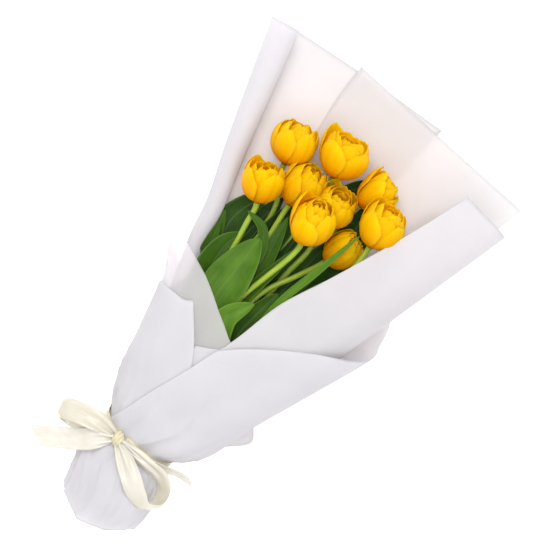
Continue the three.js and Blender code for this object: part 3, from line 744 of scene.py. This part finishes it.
# Count round the bunch, share of the depth, drift along y and phase
PLEATS = ((7, 0.5, 0.010, 0.3), (12, 0.55, -0.013, 1.9), (19, 0.35, 0.017, 4.2), (29, 0.2, -0.02, 2.5))
PLEAT_DRIFT = 0.3
CREASES, CREASE_HEIGHT, CREASE_SHARPNESS = 8, 1.5, 5
WAVE_HEIGHT, WAVE_WIDTH, WAVE_LENGTH = 0.8, 55, 70
SWELL = 0.2


def fold_height(around, y):
    """How far out the pleats and the sharp creases stand, as a share of their depth."""
    fold = 0
    for count, share, drift, phase in PLEATS:
        fold += share * sin(count * around + drift * y * count * PLEAT_DRIFT + phase)
    crest = 1 - abs(sin(CREASES * around + 0.03 * y + 1.2 * sin(0.05 * y)))
    return fold + CREASE_HEIGHT * crest ** CREASE_SHARPNESS


def pleated(point):
    """Moves a point of any sheet in or out with the pleats and the slow waves of the paper."""
    y = point.y
    half_width = (right_side(y) - left_side(y)) / 2
    across = (point.x - (right_side(y) + left_side(y)) / 2) / half_width
    rise = (point.z - WAIST_MIDDLE) / WAIST_HALF_HEIGHT
    fold = fold_height(atan2(rise, across), y)
    hills = noise.noise(Vector((point.x / WAVE_WIDTH, y / WAVE_LENGTH, 3.3)))
    wave = WAVE_HEIGHT * hills * smoothstep(40, 160, y)
    off_the_floor = smoothstep(6, 26, point.z)
    amount = (fold * pleat_depth(y) + wave + SWELL) * off_the_floor
    out = Vector((across / half_width, 0, rise / WAIST_HALF_HEIGHT))
    if out.length > 1e-6:
        point = point + out.normalized() * amount
    return point


WAIST_ROWS = (-20, -8, 0, 8, 17, 35, 60, FLARE_START)
WAIST_STEPS = (5, 4, 4, 4, 6, 7, 8)
SKIRT_STEPS = 24
UPPER_STEPS = 6
COLUMN_STEPS = 6
# The skirt's cut is looked up by x at this y, and each inner sheet ends a little higher
SKIRT_Y = -85
SKIRT_STAGGER = 1.5


def sheet_rows(sheet, column):
    """The y of each row of a column: the skirt, the waist and the upper part of the sheet."""
    whole = min(int(column), sum(sheet["columns"]) - 1)
    top = lerp(sheet["top_edge"](whole), sheet["top_edge"](whole + 1), column - whole)
    end = skirt_end(sheet_point(sheet, column, SKIRT_Y, 0).x) + SKIRT_STAGGER * sheet["level"]
    rows = [lerp(end, WAIST_ROWS[0], k / SKIRT_STEPS) for k in range(SKIRT_STEPS)]
    for k, steps in enumerate(WAIST_STEPS):
        rows += [lerp(WAIST_ROWS[k], WAIST_ROWS[k + 1], s / steps) for s in range(steps)]
    upper = sheet["upper_rows"] * UPPER_STEPS
    return rows + [lerp(FLARE_START, top, k / upper) for k in range(upper + 1)]


def wrap_sheet(name, sheet):
    """One sheet of paper: its inside in the first material and its outside in the second."""
    points = []
    for i in range(sum(sheet["columns"]) * COLUMN_STEPS + 1):
        column = i / COLUMN_STEPS
        points.append([
            tie_dip(pleated(sheet_point(sheet, column, y, PAPER / 2)))
            for y in sheet_rows(sheet, column)
        ])
    if sheet["side"] < 0:
        points.reverse()
    sculpt = Sculpt()
    sculpt.grid(points)
    sides = ("paper_sheer", "paper_sheer") if "sheer" in sheet else ("paper_in", "paper_out")
    faces = [MATERIALS[side] for side in sides]
    sculpt.piece(f"{name}_vellum", faces, "wrap_paper", name, PAPER_SKIN, 1)


# Blooms: layers of petals round a small core, in a frame whose +Z is the flower's axis

# at is a bloom's middle, swing and tilt say where it points, wide is its radius, tall its
# height, open the angle of its tips, spin where its first petal stands, point how sharp the
# tips are, drop how much lower the front ones stand, hollow how far the middle stands open,
# flare how far the outer tips lean out, and crest how tall each outer petal is
Bloom = namedtuple("Bloom", "at swing tilt wide tall open spin point drop hollow flare crest")
BLOOMS = [
    Bloom((-75.9, 357.4, 38), -14, 12, 26.4, 49, 48, 40, 0.45, 0.1, 0.0, 0.8, (1.0, 1.0, 0.97, 0.92, 0.96)),
    Bloom((-25.6, 383.2, 42), -16, 15, 29, 55, 36, 72, 0.55, 0.12, 0.7, 3.2, (0.92, 1.0, 0.86, 0.8)),
    Bloom((-74.9, 304.2, 56), -24, 20, 24.8, 51, 40, 60, 0.7, 0.1, 0.9, 2.6, (0.86, 0.96, 0.9, 0.9)),
    Bloom((-38.6, 328.4, 42), -4, 20, 24.6, 53, 46, 25, 0.4, 0.1, 0.3, 1, (0.98, 1.0, 1.04, 0.84, 0.95)),
    Bloom((3.7, 333.6, 42), -5, 25, 24.2, 48, 40, 50, 0.5, 0.16, 0.9, 1.5, (0.95, 1.0, 0.95, 0.85)),
    Bloom((30, 375.4, 35), 18, 10, 22, 49, 32, 20, 0.9, 0.04, 0.5, 3.4, (0.86, 0.9, 1.0, 0.92, 0.84)),
    Bloom((56.8, 349.5, 68), -9, 20, 26.4, 55, 40, 62, 0.45, 0.2, 0.5, 2, (0.86, 1.0, 0.94, 0.8)),
    Bloom((-5.3, 303.6, 79), -14, 28, 25.5, 57, 46, 85, 0.25, 0.3, 0.3, 0.5, (0.94, 1.04, 0.95, 0.94)),
    Bloom((40.8, 301.3, 37), 18, 15, 20.5, 46, 44, 30, 0.25, 0.1, 0.1, 0, (0.95, 1.0, 1.0, 0.96)),
]

# count 0 takes the number of the bloom's crests, reach and height are shares of the bloom's
# own, overlap is a petal's width in shares of its even part of the round, shut how far the tips
# lean in, lower the share of the bloom's drop that the layer takes, hood how far the rim bends in
Layer = namedtuple("Layer", "count reach height overlap turn shut ruffle tuck camber lower hood")
PETAL_LAYERS = [
    Layer(0, 1.0, 0.95, 1.1, 0, 0, 0.6, 1.5, 0.11, 1.0, 1.5),
    Layer(0, 0.87, 0.97, 1.05, 43, 2, 0.8, 1.3, 0.1, 0.7, 2.2),
    Layer(3, 0.75, 0.98, 1.0, 20, 8, 1.2, 1.4, 0.08, 0.45, 3.5),
    Layer(3, 0.6, 0.98, 1.1, 82, 14, 1.2, 1.2, 0.06, 0.25, 3.5),
    Layer(3, 0.42, 0.94, 1.235, 35, 20, 1.0, 1.0, 0.05, 0.1, 3),
]
PETAL_COLUMNS, PETAL_ROWS = 18, 24
PETAL_ROOT_ANGLE, PETAL_STEEPEST = -78, 80
PETAL_BASE_HEIGHT = 1.5
KEEL_DEPTH, KEEL_WIDTH, NOTCH_WIDTH = 0.9, 0.09, 0.13
CORE_HEIGHT, CORE_SIDES, CORE_ROWS = 18, 24, 12
ANTHERS, ANTHER_SIDES, ANTHER_ROWS = 6, 8, 8

petal_outline = curve_through([[0, 0.5], [0.25, 0.86], [0.55, 1], [0.8, 0.97], [1, 0.8]])


def axis_of(bloom):
    swing, tilt = radians(bloom.swing), radians(bloom.tilt)
    return Vector((sin(swing) * cos(tilt), cos(swing) * cos(tilt), sin(tilt)))


def base_of(bloom):
    return Vector(bloom.at) - axis_of(bloom) * bloom.tall / 2


def petal_surface(bloom, layer, count, crest, heading, draw):
    """A cupped blade whose rim is rounded or pointed, notched and softly waved."""
    front = max(0.0, -sin(heading))
    wide = bloom.wide * layer.reach * (1 + 0.02 * draw())
    lower = bloom.drop * layer.lower * front
    sink = 0.2 * bloom.hollow * (1 - layer.lower)
    rise = bloom.tall * layer.height * crest * (1 + 0.03 * draw() - lower - sink)
    shut = layer.shut * (1 - bloom.hollow)
    tip = min(bloom.open + shut + 5 * draw() - 30 * lower, PETAL_STEEPEST)
    root_angle, tip_angle = radians(PETAL_ROOT_ANGLE), radians(tip)
    half = rise / (sin(tip_angle) - sin(root_angle))
    point = clamp(bloom.point * (0.4 + 0.6 * layer.lower) + 0.2 * draw(), 0, 1)
    power = lerp(3.6, 1.6, point)
    fall = lerp(0.22, 0.42, point) * (0.55 + 0.45 * layer.lower)
    flare = bloom.flare * max(0, layer.lower - 0.3)
    notch = 0.03 * (1 - point) * (1 + draw())
    phase = pi * draw()
    lean = 0.08 * draw()
    lip = 0.8 + 0.4 * draw()
    half_width = pi / count * layer.overlap

    def rim(across):
        """Where the blade ends, as a share of its full length."""
        end = 1 - fall * min(1, abs(across + lean)) ** power
        end -= notch * exp(-((across / NOTCH_WIDTH) ** 2))
        return end + 0.014 * sin(8 * across + phase) + 0.008 * sin(19 * across - phase)

    def surface(across, v):
        s = v * rim(across)
        angle = lerp(root_angle, tip_angle, s)
        cup = 1 - layer.camber * across ** 2 - 0.04 * s * s * across ** 4
        radius = wide * cos(angle) * cup
        body = smoothstep(0.08, 0.45, s)
        radius += layer.tuck * across * body
        radius += lip * smoothstep(0.8, 1.0, abs(across)) * body
        keel = KEEL_DEPTH * exp(-((across / KEEL_WIDTH) ** 2))
        radius -= keel * smoothstep(0.1, 0.45, s)
        radius += layer.ruffle * s ** 3 * sin(4.6 * across + phase) * (0.35 + across ** 2)
        radius += flare * smoothstep(0.5, 1.0, s)
        hood = layer.hood * (1 - 0.6 * across ** 2) * (1 - 0.7 * point)
        radius -= hood * smoothstep(0.78, 1.0, v)
        height = half * (sin(angle) - sin(root_angle)) + PETAL_BASE_HEIGHT
        return round_point(radius, heading + across * half_width * petal_outline(s), height)

    return surface


def petal_layer(sculpt, place, bloom, layer, draw):
    """One ring of petals, each a grid of its own."""
    crests = bloom.crest
    count = layer.count or len(crests)
    for k in range(count):
        heading = radians(bloom.spin + layer.turn + 360 / count * k + 6 * draw())
        crest = lerp(1, crests[k % len(crests)], layer.lower ** 2)
        surface = petal_surface(bloom, layer, count, crest, heading, draw)
        blade = [
            [place(surface(across, j / PETAL_ROWS)) for j in range(PETAL_ROWS + 1)]
            for across in across_steps(PETAL_COLUMNS)
        ]
        # Inner layers get a lower tone, which the petal material paints warmer and darker as shade in the
        # cup; the rest of the tone is random.
        sculpt.grid(blade, (0.15 + 0.45 * layer.reach) * (1 + 0.3 * draw()))


def bloom_core(sculpt, place, wide):
    """The small body that the petals grow from."""
    profile = curve_through([
        [0, 3.2], [1.5, 4.6], [5, 0.33 * wide], [12, 0.2 * wide], [CORE_HEIGHT, 2],
    ])

    def at(angle, s):
        z = CORE_HEIGHT * s
        return place(round_point(profile(z), angle, z))

    sculpt.grid(turned(CORE_SIDES, CORE_ROWS, at), 0.3, closed=True)


def anther(sculpt, place, foot, top):
    """A thin thread that carries a thicker, rounded end."""
    def at(angle, s):
        radius = (0.5 + 0.9 * smoothstep(0.45, 0.62, s)) * sqrt(max(0.0, 1 - s ** 6))
        return place(foot.lerp(top, s) + round_point(radius, angle, 0))

    sculpt.grid(turned(ANTHER_SIDES, ANTHER_ROWS, at), slot=1, closed=True)


def stamens(sculpt, place, bloom, draw):
    """Short anthers and, last, a green pistil in the middle of the cup."""
    for k in range(ANTHERS + 1):
        bearing = radians(360 / ANTHERS * k + 12 * draw())
        lean = 0 if k == ANTHERS else 0.16 * bloom.wide
        top = round_point(lean, bearing, 0.4 * bloom.tall)
        anther(sculpt, place, top * 0.2, top)


def bloom_piece(bloom, number):
    draw = seeded_spread(number)
    turn = Vector((0, 0, 1)).rotation_difference(axis_of(bloom))
    base = base_of(bloom)
    sculpt = Sculpt()

    def place(p):
        return base + turn @ p

    bloom_core(sculpt, place, bloom.wide)
    for layer in PETAL_LAYERS:
        petal_layer(sculpt, place, bloom, layer, draw)
    stamens(sculpt, place, bloom, draw)
    faces = [MATERIALS["petal"], MATERIALS["anther"]]
    sculpt.piece(f"bloom_0{number}_petals", faces, "petal", f"bloom_0{number}", PETAL_SKIN)


# Stems run side by side through the tie, then fan out, each with its leaves

BUNDLE = {"x": -2, "z": 33, "step_x": 6.95, "step_z": 6.1, "top": 6}

# A leaf is the y of its root, the points of its midrib, its width, lean, share of light green
# and keel, and the last of these are left out where they are 0. The share of light green is
# partly the leaf's own colour and partly painted light and shade: low on the leaves in the shaded gaps
Stem = namedtuple("Stem", "place cut_end route leaves")
STEMS = [
    Stem((-1, -1), -80, [(-27, 110, 18), (-40, 230, 13), (-47, 290, 14), (-60, 318, 21)], [
        (98, [(-48, 150, 27), (-72, 205, 20), (-88, 254, 21)], 22, 0, 0.3),
        (118, [(-45, 160, 17), (-67, 215, 15), (-76, 252, 15), (-62, 304, 15)], 35, 0, 0.1),
        (120, [(-48, 180, 12.5), (-54, 230, 11), (-47, 306, 12)], 29),
        (150, [(-34, 200, 12), (-30, 250, 11), (-28, 322, 11.5)], 33),
    ]),
    Stem((0, -1), -76, [(-6, 110, 18), (-10, 230, 11.4), (-13, 300, 12), (-17, 340, 20)], [
        (170, [(-3, 250, 11), (-1, 320, 8.5), (8, 365, 10), (19, 386, 11)], 27),
        (140, [(1, 195, 13), (6, 245, 11.5), (8, 300, 11.5)], 24),
        (132, [(-14, 190, 13), (-19, 240, 12), (-14, 304, 12)], 30),
    ]),
    Stem((-1, 1), -72, [(-34, 110, 43), (-53.7, 230, 43), (-60, 260, 45)], [
        (78, [(-46, 150, 42), (-60, 200, 42), (-62, 225, 42), (-55, 247, 42)], 36, -8, 0.3, 0.1),
        (96, [(-56, 150, 38), (-71, 195, 25), (-84, 240, 25)], 20, 0, 0.3),
    ]),
    Stem((-1, 0), -82, [(-20, 110, 30), (-25, 215, 26), (-31, 260, 27)], [
        (108, [(-13, 170, 34), (-15, 225, 36), (-22, 262, 36), (-29, 292, 35)], 20, 12, 0.35),
        (125, [(-30, 180, 42), (-28, 215, 50), (-29, 244, 52), (-42, 264, 54), (-67, 269, 53)],
         15, -10, 0.35),
    ]),
    Stem((1, 0), -78, [(12, 110, 30), (10, 237, 24), (12.5, 280, 24)], [
        (62, [(12, 120, 39), (13, 180, 44), (17, 220, 45)], 27, 0, 0.25),
        (112, [(16, 180, 24.5), (21, 250, 21), (24, 303, 17)], 22),
    ]),
    Stem((1, -1), -84, [(17, 110, 18), (20, 230, 11.4), (22, 300, 11), (20.5, 335, 15)], [
        (95, [(36, 170, 23), (46, 236, 27), (54, 270, 27)], 24, 0, 0.15),
        (110, [(46, 170, 15), (62, 225, 12.5), (73, 300, 12)], 30),
        (140, [(33, 200, 12), (38, 250, 11), (40, 300, 10), (33, 366, 9)], 36),
        (120, [(38, 190, 16), (50, 250, 14), (56, 334, 13)], 27),
    ]),
    Stem((1, 1), -74, [(30, 110, 45), (51, 230, 49), (62, 285, 54)], [
        (62, [(13, 112, 56.5), (-7, 150, 64), (-9, 166, 65), (4, 195, 64)], 28, 0, 0.8, 0.25),
        (84, [(23, 130, 53), (24, 180, 56), (25, 217, 58), (36, 275, 63), (45, 326, 66)], 9, 10, 0.9),
    ]),
    Stem((0, 1), -70, [(-10, 110, 47), (-11.5, 188, 51), (-4, 230, 56), (1.5, 259, 60.5)], [
        (84, [(-20, 120, 51.5), (-33.5, 170, 53.6), (-35.5, 205, 55.6), (-37, 254, 58)], 48, 3, 0.6, 0.42),
    ]),
    Stem((0, 0), -79, [(-2, 110, 36), (3, 209, 36), (20, 247, 34)], [
        (84, [(-9, 130, 40), (-9, 195, 43), (-3, 240, 46), (1.5, 273, 50)], 15, 0, 0.4),
    ]),
]

leaf_outline = curve_through([
    [0, 0.22], [0.2, 0.58], [0.45, 0.95], [0.64, 1], [0.82, 0.78], [0.93, 0.46], [1, 0.1],
])
LEAF_FOLD = 0.16
LEAF_COLUMNS, LEAF_ROWS = 12, 56
STEM_SIDES, STEM_RINGS = 16, 70


def stem_route(stem, end, end_axis):
    x = BUNDLE["x"] + stem.place[0] * BUNDLE["step_x"]
    z = BUNDLE["z"] + stem.place[1] * BUNDLE["step_z"]
    straight = [(x, stem.cut_end, z), (x, -BUNDLE["top"], z), (x, BUNDLE["top"], z)]
    return Route([*straight, *stem.route, end - end_axis * STEM_LEAD, end])


def point_at_y(route, y):
    """The point where a centre line that always climbs in y passes the y given."""
    low, high = 0.0, 1.0
    for _ in range(20):
        middle = (low + high) / 2
        if route.point_at(middle).y < y:
            low = middle
        else:
            high = middle
    return route.point_at(low)


def stem_tube(sculpt, route, end_axis, draw):
    """A round stem, a little uneven, flared where the flower sits on it."""
    rings = []
    phase = 3 * draw()
    around = [round_point(1, 2 * pi * i / STEM_SIDES, 0) for i in range(STEM_SIDES)]
    for k in range(STEM_RINGS + 1):
        s = k / STEM_RINGS
        centre = route.point_at(s)
        forward = end_axis if k == STEM_RINGS else route.tangent_at(s)
        side = Vector((0, 0, 1)).cross(forward).normalized()
        up = forward.cross(side)
        radius = STEM_RADIUS * (0.93 + 0.03 * sin(9 * s + phase) + 0.12 * smoothstep(0.97, 1, s))
        rings.append([centre + (side * spot.x + up * spot.y) * radius for spot in around])
    tone = 0.5 + 0.5 * draw()
    sculpt.grid(list(zip(*rings)), tone, closed=True)
    sculpt.cap(rings[0][::-1], tone)
    sculpt.cap(rings[-1], tone)


def leaf_blade(sculpt, leaf, stem_line, draw):
    """A long blade folded along its keel, with softly waved edges."""
    root, midrib, width, lean, fresh_and_lit, keel = (*leaf, 0, 0, 0)[:6]
    route = Route([point_at_y(stem_line, root), *midrib])
    tip_lean = radians(lean)
    phase = pi * draw()
    columns = [[] for _ in range(LEAF_COLUMNS + 1)]
    for j in range(LEAF_ROWS + 1):
        s = clamp(j / LEAF_ROWS, 0.0005, 0.9995)
        centre = route.point_at(s)
        forward = route.tangent_at(s)
        side = forward.cross(Vector((0, 0, 1))).normalized()
        up = side.cross(forward)
        wide = width * leaf_outline(s)
        cross = side * cos(tip_lean) + up * sin(tip_lean)
        for column, across in zip(columns, across_steps(LEAF_COLUMNS)):
            off = (across - keel) / (1 + abs(keel)) if across < keel else (across - keel) / (1 - keel)
            fold = LEAF_FOLD * wide * (0.75 * abs(off) ** 1.4 + 0.25 * off ** 2) * (1 - 0.3 * abs(keel))
            wave = 0.022 * wide * across ** 2 * sin(15 * s + phase + across)
            column.append(centre + cross * across * wide / 2 + up * (fold + wave))
    sculpt.grid(columns, fresh_and_lit)


def stem_piece(stem, bloom, number):
    draw = seeded_spread(100 + number)
    axis = axis_of(bloom)
    line = stem_route(stem, base_of(bloom) - axis * SEAT, axis)
    name = f"stem_0{number}"
    leaves = Sculpt()
    for leaf in stem.leaves:
        leaf_blade(leaves, leaf, line, draw)
    leaves.piece(f"{name}_leaves", [MATERIALS["leaf"]], "leaf", name, LEAF_SKIN)
    tube = Sculpt()
    stem_tube(tube, line, axis, draw)
    tube.piece(f"{name}_stalk", [MATERIALS["stem"]], "leaf", name)


# The ribbon: a band round the waist, a knot, two loops and two tails, all one strip

KNOT = Vector((-15.5, -13, 66))

# Each part has its pinch along the way, the slant of its cut, its stops, which are a point and
# the way the width runs, and how far its corners are drawn in along the bend
# A part's tone sets its painted light: higher is paler.
RIBBON_PARTS = [
    # The left loop
    {
        "rows": 90, "tone": 0.5, "slant": 0, "corner": (7, 1.5),
        "bend": [[0.2, 0], [0.45, 1], [0.6, 1], [0.8, 0]],
        "pinch": [[0, 0.35], [0.1, 0.8], [0.22, 1], [0.78, 1], [0.9, 0.8], [1, 0.35]],
        "stops": [
            (-17, -13, 66, 0.1, 1, 0.1), (-46, -13, 73, -0.15, 1, 0.05),
            (-82, -24, 68, -0.3, 0.95, 0), (-87, -27, 60, -0.3, 0.95, 0),
            (-76, -28, 55, -0.3, 0.95, 0), (-46, -22, 58, -0.1, 1, 0),
            (-19, -15, 65, 0.1, 1, 0.1),
        ],
    },
    # The right loop
    {
        "rows": 110, "tone": 0.8, "slant": 0, "corner": (-4, 4),
        "bend": [[0.3, 0], [0.5, 1], [0.65, 1], [0.85, 0]],
        "pinch": [[0, 0.35], [0.12, 0.8], [0.3, 1], [0.75, 1], [0.9, 0.75], [1, 0.35]],
        "stops": [
            (-13, -16, 66, 0.5, 0.8, 0.3), (2, -24, 70, 0.5, 0.85, 0.15),
            (20.5, -35, 70, 0.5, 0.85, 0.1), (40, -47.5, 68, 0.45, 0.8, 0.4),
            (55, -54, 64, 0.35, 0.5, 0.7), (65.5, -44, 58, 0.45, 0.3, 0.8),
            (62, -28, 59, 0.6, 0.3, 0.7), (47, -17, 66, 0.5, 0.6, 0.6),
            (24, -14, 71.5, 0.3, 0.75, 0.6), (-11, -14, 67, 0.4, 0.85, 0.3),
        ],
    },
    # The left tail
    {
        "rows": 70, "tone": 1.0, "slant": -0.12,
        "pinch": [[0, 0.35], [0.15, 0.7], [0.38, 1], [1, 1]],
        "stops": [
            (-17, -15, 66, 0.3, 0.9, 0.2), (-34, -30, 67, -0.55, 0.83, 0.05),
            (-54, -47, 53, -0.6, 0.8, 0), (-73, -63, 31, -0.6, 0.75, 0.1),
            (-94, -80, 10, -0.62, 0.75, 0.1),
        ],
    },
    # The right tail
    {
        "rows": 70, "tone": 0.85, "slant": 0.2,
        "pinch": [[0, 0.35], [0.25, 0.5], [0.6, 0.6], [1, 0.5]],
        "stops": [
            (-13, -12, 66, 0.2, 0.9, 0.3), (14, -13, 69, 0.1, 0.8, 0.6),
            (42, -8, 60, 0.2, 0.7, 0.7), (64, -3, 39, 0.4, 0.45, 0.8),
            (86, -4.5, 16, 0.25, 0.3, 0.92),
        ],
    },
]
RIBBON_COLUMNS = 24
RIBBON_FOLDS = 2
BAND_FOLDS, BAND_FOLD_DEPTH = 3, 0.5
# The band runs over these columns of the front sheet, then round the left side
BAND_COLUMNS, BAND_COLUMN_STEPS, BAND_SIDE_STEPS = (11, 2), 6, 60
# The sheets on the left side lie this much deeper than the front one
LEFT_SIDE_IN = 1.8
KNOT_HALF_SIZE = Vector((6.2, 8.2, 5.0))
KNOT_STEPS = 48
KNOT_MEAN_RADIUS = 7.2


def fold_depth(pinch, folds):
    """How deep the folds are where the ribbon is pinched to that share of its width."""
    width = pinch * RIBBON_WIDTH
    return width / (2 * pi * folds) * sqrt(2 * max(0, 1 / pinch ** 2 - 1)) * 0.9


def ribbon_strip(sculpt, part):
    """A strip that keeps its full width of cloth, taken up in folds where it is pinched."""
    route = Route([stop[:3] for stop in part["stops"]])
    widthways = Route([stop[3:] for stop in part["stops"]])
    pinch = curve_through(part["pinch"])
    inward = Vector((*part.get("corner", (0, 0)), 0))
    bend = curve_through(part.get("bend", [[0, 0], [1, 0]]))
    columns = []
    for a in across_steps(RIBBON_COLUMNS):
        reach = 1 - abs(part["slant"]) * (1 + copysign(a, part["slant"] * a)) / 2
        column = []
        for j in range(part["rows"] + 1):
            t = reach * j / part["rows"]
            forward = route.tangent(t)
            across = widthways.point(t)
            across = (across - forward * across.dot(forward)).normalized()
            share = pinch(t)
            fold = fold_depth(share, RIBBON_FOLDS) * sin(RIBBON_FOLDS * pi * a + 0.9)
            camber = 0.5 * (1 - a * a)
            point = route.point(t) + inward * bend(t) * abs(a) ** 3.5
            point += across * a * share * RIBBON_WIDTH / 2
            column.append(point + forward.cross(across) * (fold + camber))
        columns.append(column)
    sculpt.grid(columns, part["tone"])
    return route.lengths[-1]


def band_path(front, y, level):
    """Once round the waist at y, over the front and back from below on the left."""
    first, last = BAND_COLUMNS
    path = []
    for k in range((first - last) * BAND_COLUMN_STEPS + 1):
        path.append(sheet_point(front, first - k / BAND_COLUMN_STEPS, y, level))
    section = cross_section(front, y, level)
    half = (section.left_top - section.floor) / 2
    for k in range(BAND_SIDE_STEPS + 1):
        angle = radians(-90 + 180 * k / BAND_SIDE_STEPS)
        x = section.left + section.left_radius * (1 - cos(angle))
        x += LEFT_SIDE_IN * cos(angle)
        path.append(Vector((x, y, section.floor + half + half * sin(angle))))
    return [tie_dip(pleated(p)) for p in path]


def band_strip(sculpt):
    """The band round the waist, gathered in shallow folds."""
    front = {**SHEETS["wrap_lower_front"], "rank": 0}
    outside = -BAND_CLEARANCE - RIBBON_SOLID / 2
    columns = []
    for a in across_steps(RIBBON_COLUMNS):
        level = outside + BAND_FOLD_DEPTH * sin(BAND_FOLDS * pi * a)
        columns.append(band_path(front, a * BAND_HALF_WIDTH, level))
    sculpt.grid(columns, 0.2)
    middle = columns[RIBBON_COLUMNS // 2]
    return sum((b - a).length for a, b in zip(middle, middle[1:]))


def knot_wrap(sculpt):
    """The strip wound over the middle of the bow, with its folds."""
    size = KNOT_HALF_SIZE
    columns = []
    for a in across_steps(RIBBON_COLUMNS):
        bulge = sqrt(max(0.05, 1 - 0.75 * a * a))
        column = []
        for j in range(KNOT_STEPS + 1):
            turn = 2 * pi * j / KNOT_STEPS
            fold = 1 + 0.09 * sin(3 * pi * a + 0.6 * sin(turn))
            y = size.y * bulge * fold * cos(turn)
            z = size.z * bulge * fold * sin(turn)
            column.append(KNOT + Vector((size.x * a + 0.12 * y, y - 2 * a, z)))
        columns.append(column)
    # Tone 0 paints the knot yellower: painted shade of its tight folds.
    sculpt.grid(columns, 0.0)
    return 2 * pi * KNOT_MEAN_RADIUS


def bow():
    sculpt = Sculpt()
    length = band_strip(sculpt) + knot_wrap(sculpt)
    length += sum(ribbon_strip(sculpt, part) for part in RIBBON_PARTS)
    piece = sculpt.piece("satin_bow", [MATERIALS["ribbon"]], "ribbon", "ribbon_bow", RIBBON_SKIN)


# Building

for sheet_name, sheet_shape in SHEETS.items():
    wrap_sheet(sheet_name, sheet_shape)
for index, (stem_shape, bloom_shape) in enumerate(zip(STEMS, BLOOMS), start=1):
    bloom_piece(bloom_shape, index)
    stem_piece(stem_shape, bloom_shape, index)
bow()


# Floor, light and camera

FLOOR_HALF_SIZE = 4.0
# The camera stands over this place, and its view is this wide at the height of the subject
CAMERA_OVER = (0.0092, 0.0499)
CAMERA_TURN = 40
CAMERA_HEIGHT = 2.2
SUBJECT_HEIGHT = 0.05
VIEW_WIDTH = 0.605
SENSOR = 36.0


def floor():
    """A wide, pale floor that gives off a little light of its own."""
    s = Shader("floor_paint")
    grain = s.noise(s.place(), 60.0, 3.0, 0.5)
    colour = s.ramp(grain, [(0.3, (0.95, 0.95, 0.952)), (0.7, (0.97, 0.97, 0.972))])
    paint = s.finish({
        "Base Color": colour, "Roughness": 0.9, "Specular IOR Level": 0.1,
        "Emission Color": colour, "Emission Strength": 0.4,
    })
    size = FLOOR_HALF_SIZE
    corners = [(-size, -size, 0), (size, -size, 0), (size, size, 0), (-size, size, 0)]
    mesh = bpy.data.meshes.new("floor")
    mesh.from_pydata(corners, [], [(0, 1, 2, 3)])
    mesh.materials.append(paint)
    placed("floor", mesh)


def area_light(name, location, size, power, colour):
    """A round lamp that faces the middle of the floor."""
    light = bpy.data.lights.new(name, "AREA")
    light.shape = "DISK"
    light.size = size
    light.energy = power
    light.color = colour
    piece = placed(name, light)
    piece.location = location
    piece.rotation_euler = (-Vector(location)).to_track_quat("-Z", "Y").to_euler()


def world(colour, strength):
    surroundings = bpy.data.worlds.new("studio")
    surroundings.use_nodes = True
    background = surroundings.node_tree.nodes["Background"]
    background.inputs[0].default_value = (*colour, 1)
    background.inputs[1].default_value = strength
    bpy.context.scene.world = surroundings


def camera():
    """Straight above, from far, turned so that the bunch lies slantwise as photographed."""
    data = bpy.data.cameras.new("camera")
    data.sensor_width = SENSOR
    data.lens = SENSOR * (CAMERA_HEIGHT - SUBJECT_HEIGHT) / VIEW_WIDTH
    data.clip_end = 20
    piece = placed("camera", data)
    piece.location = (*CAMERA_OVER, CAMERA_HEIGHT)
    piece.rotation_euler = (0, 0, radians(CAMERA_TURN))
    bpy.context.scene.camera = piece


floor()
world((1.0, 1.0, 1.0), 0.9)
area_light("key", (-0.7, 0.75, 1.75), 0.9, 13, (1.0, 0.99, 0.975))
area_light("fill", (0.8, -0.4, 1.7), 1.5, 6, (0.99, 0.995, 1.0))
area_light("top", (0.05, 0.1, 2.5), 0.9, 10, (1.0, 0.995, 0.99))
camera()
bpy.context.scene.view_settings.view_transform = "Standard"
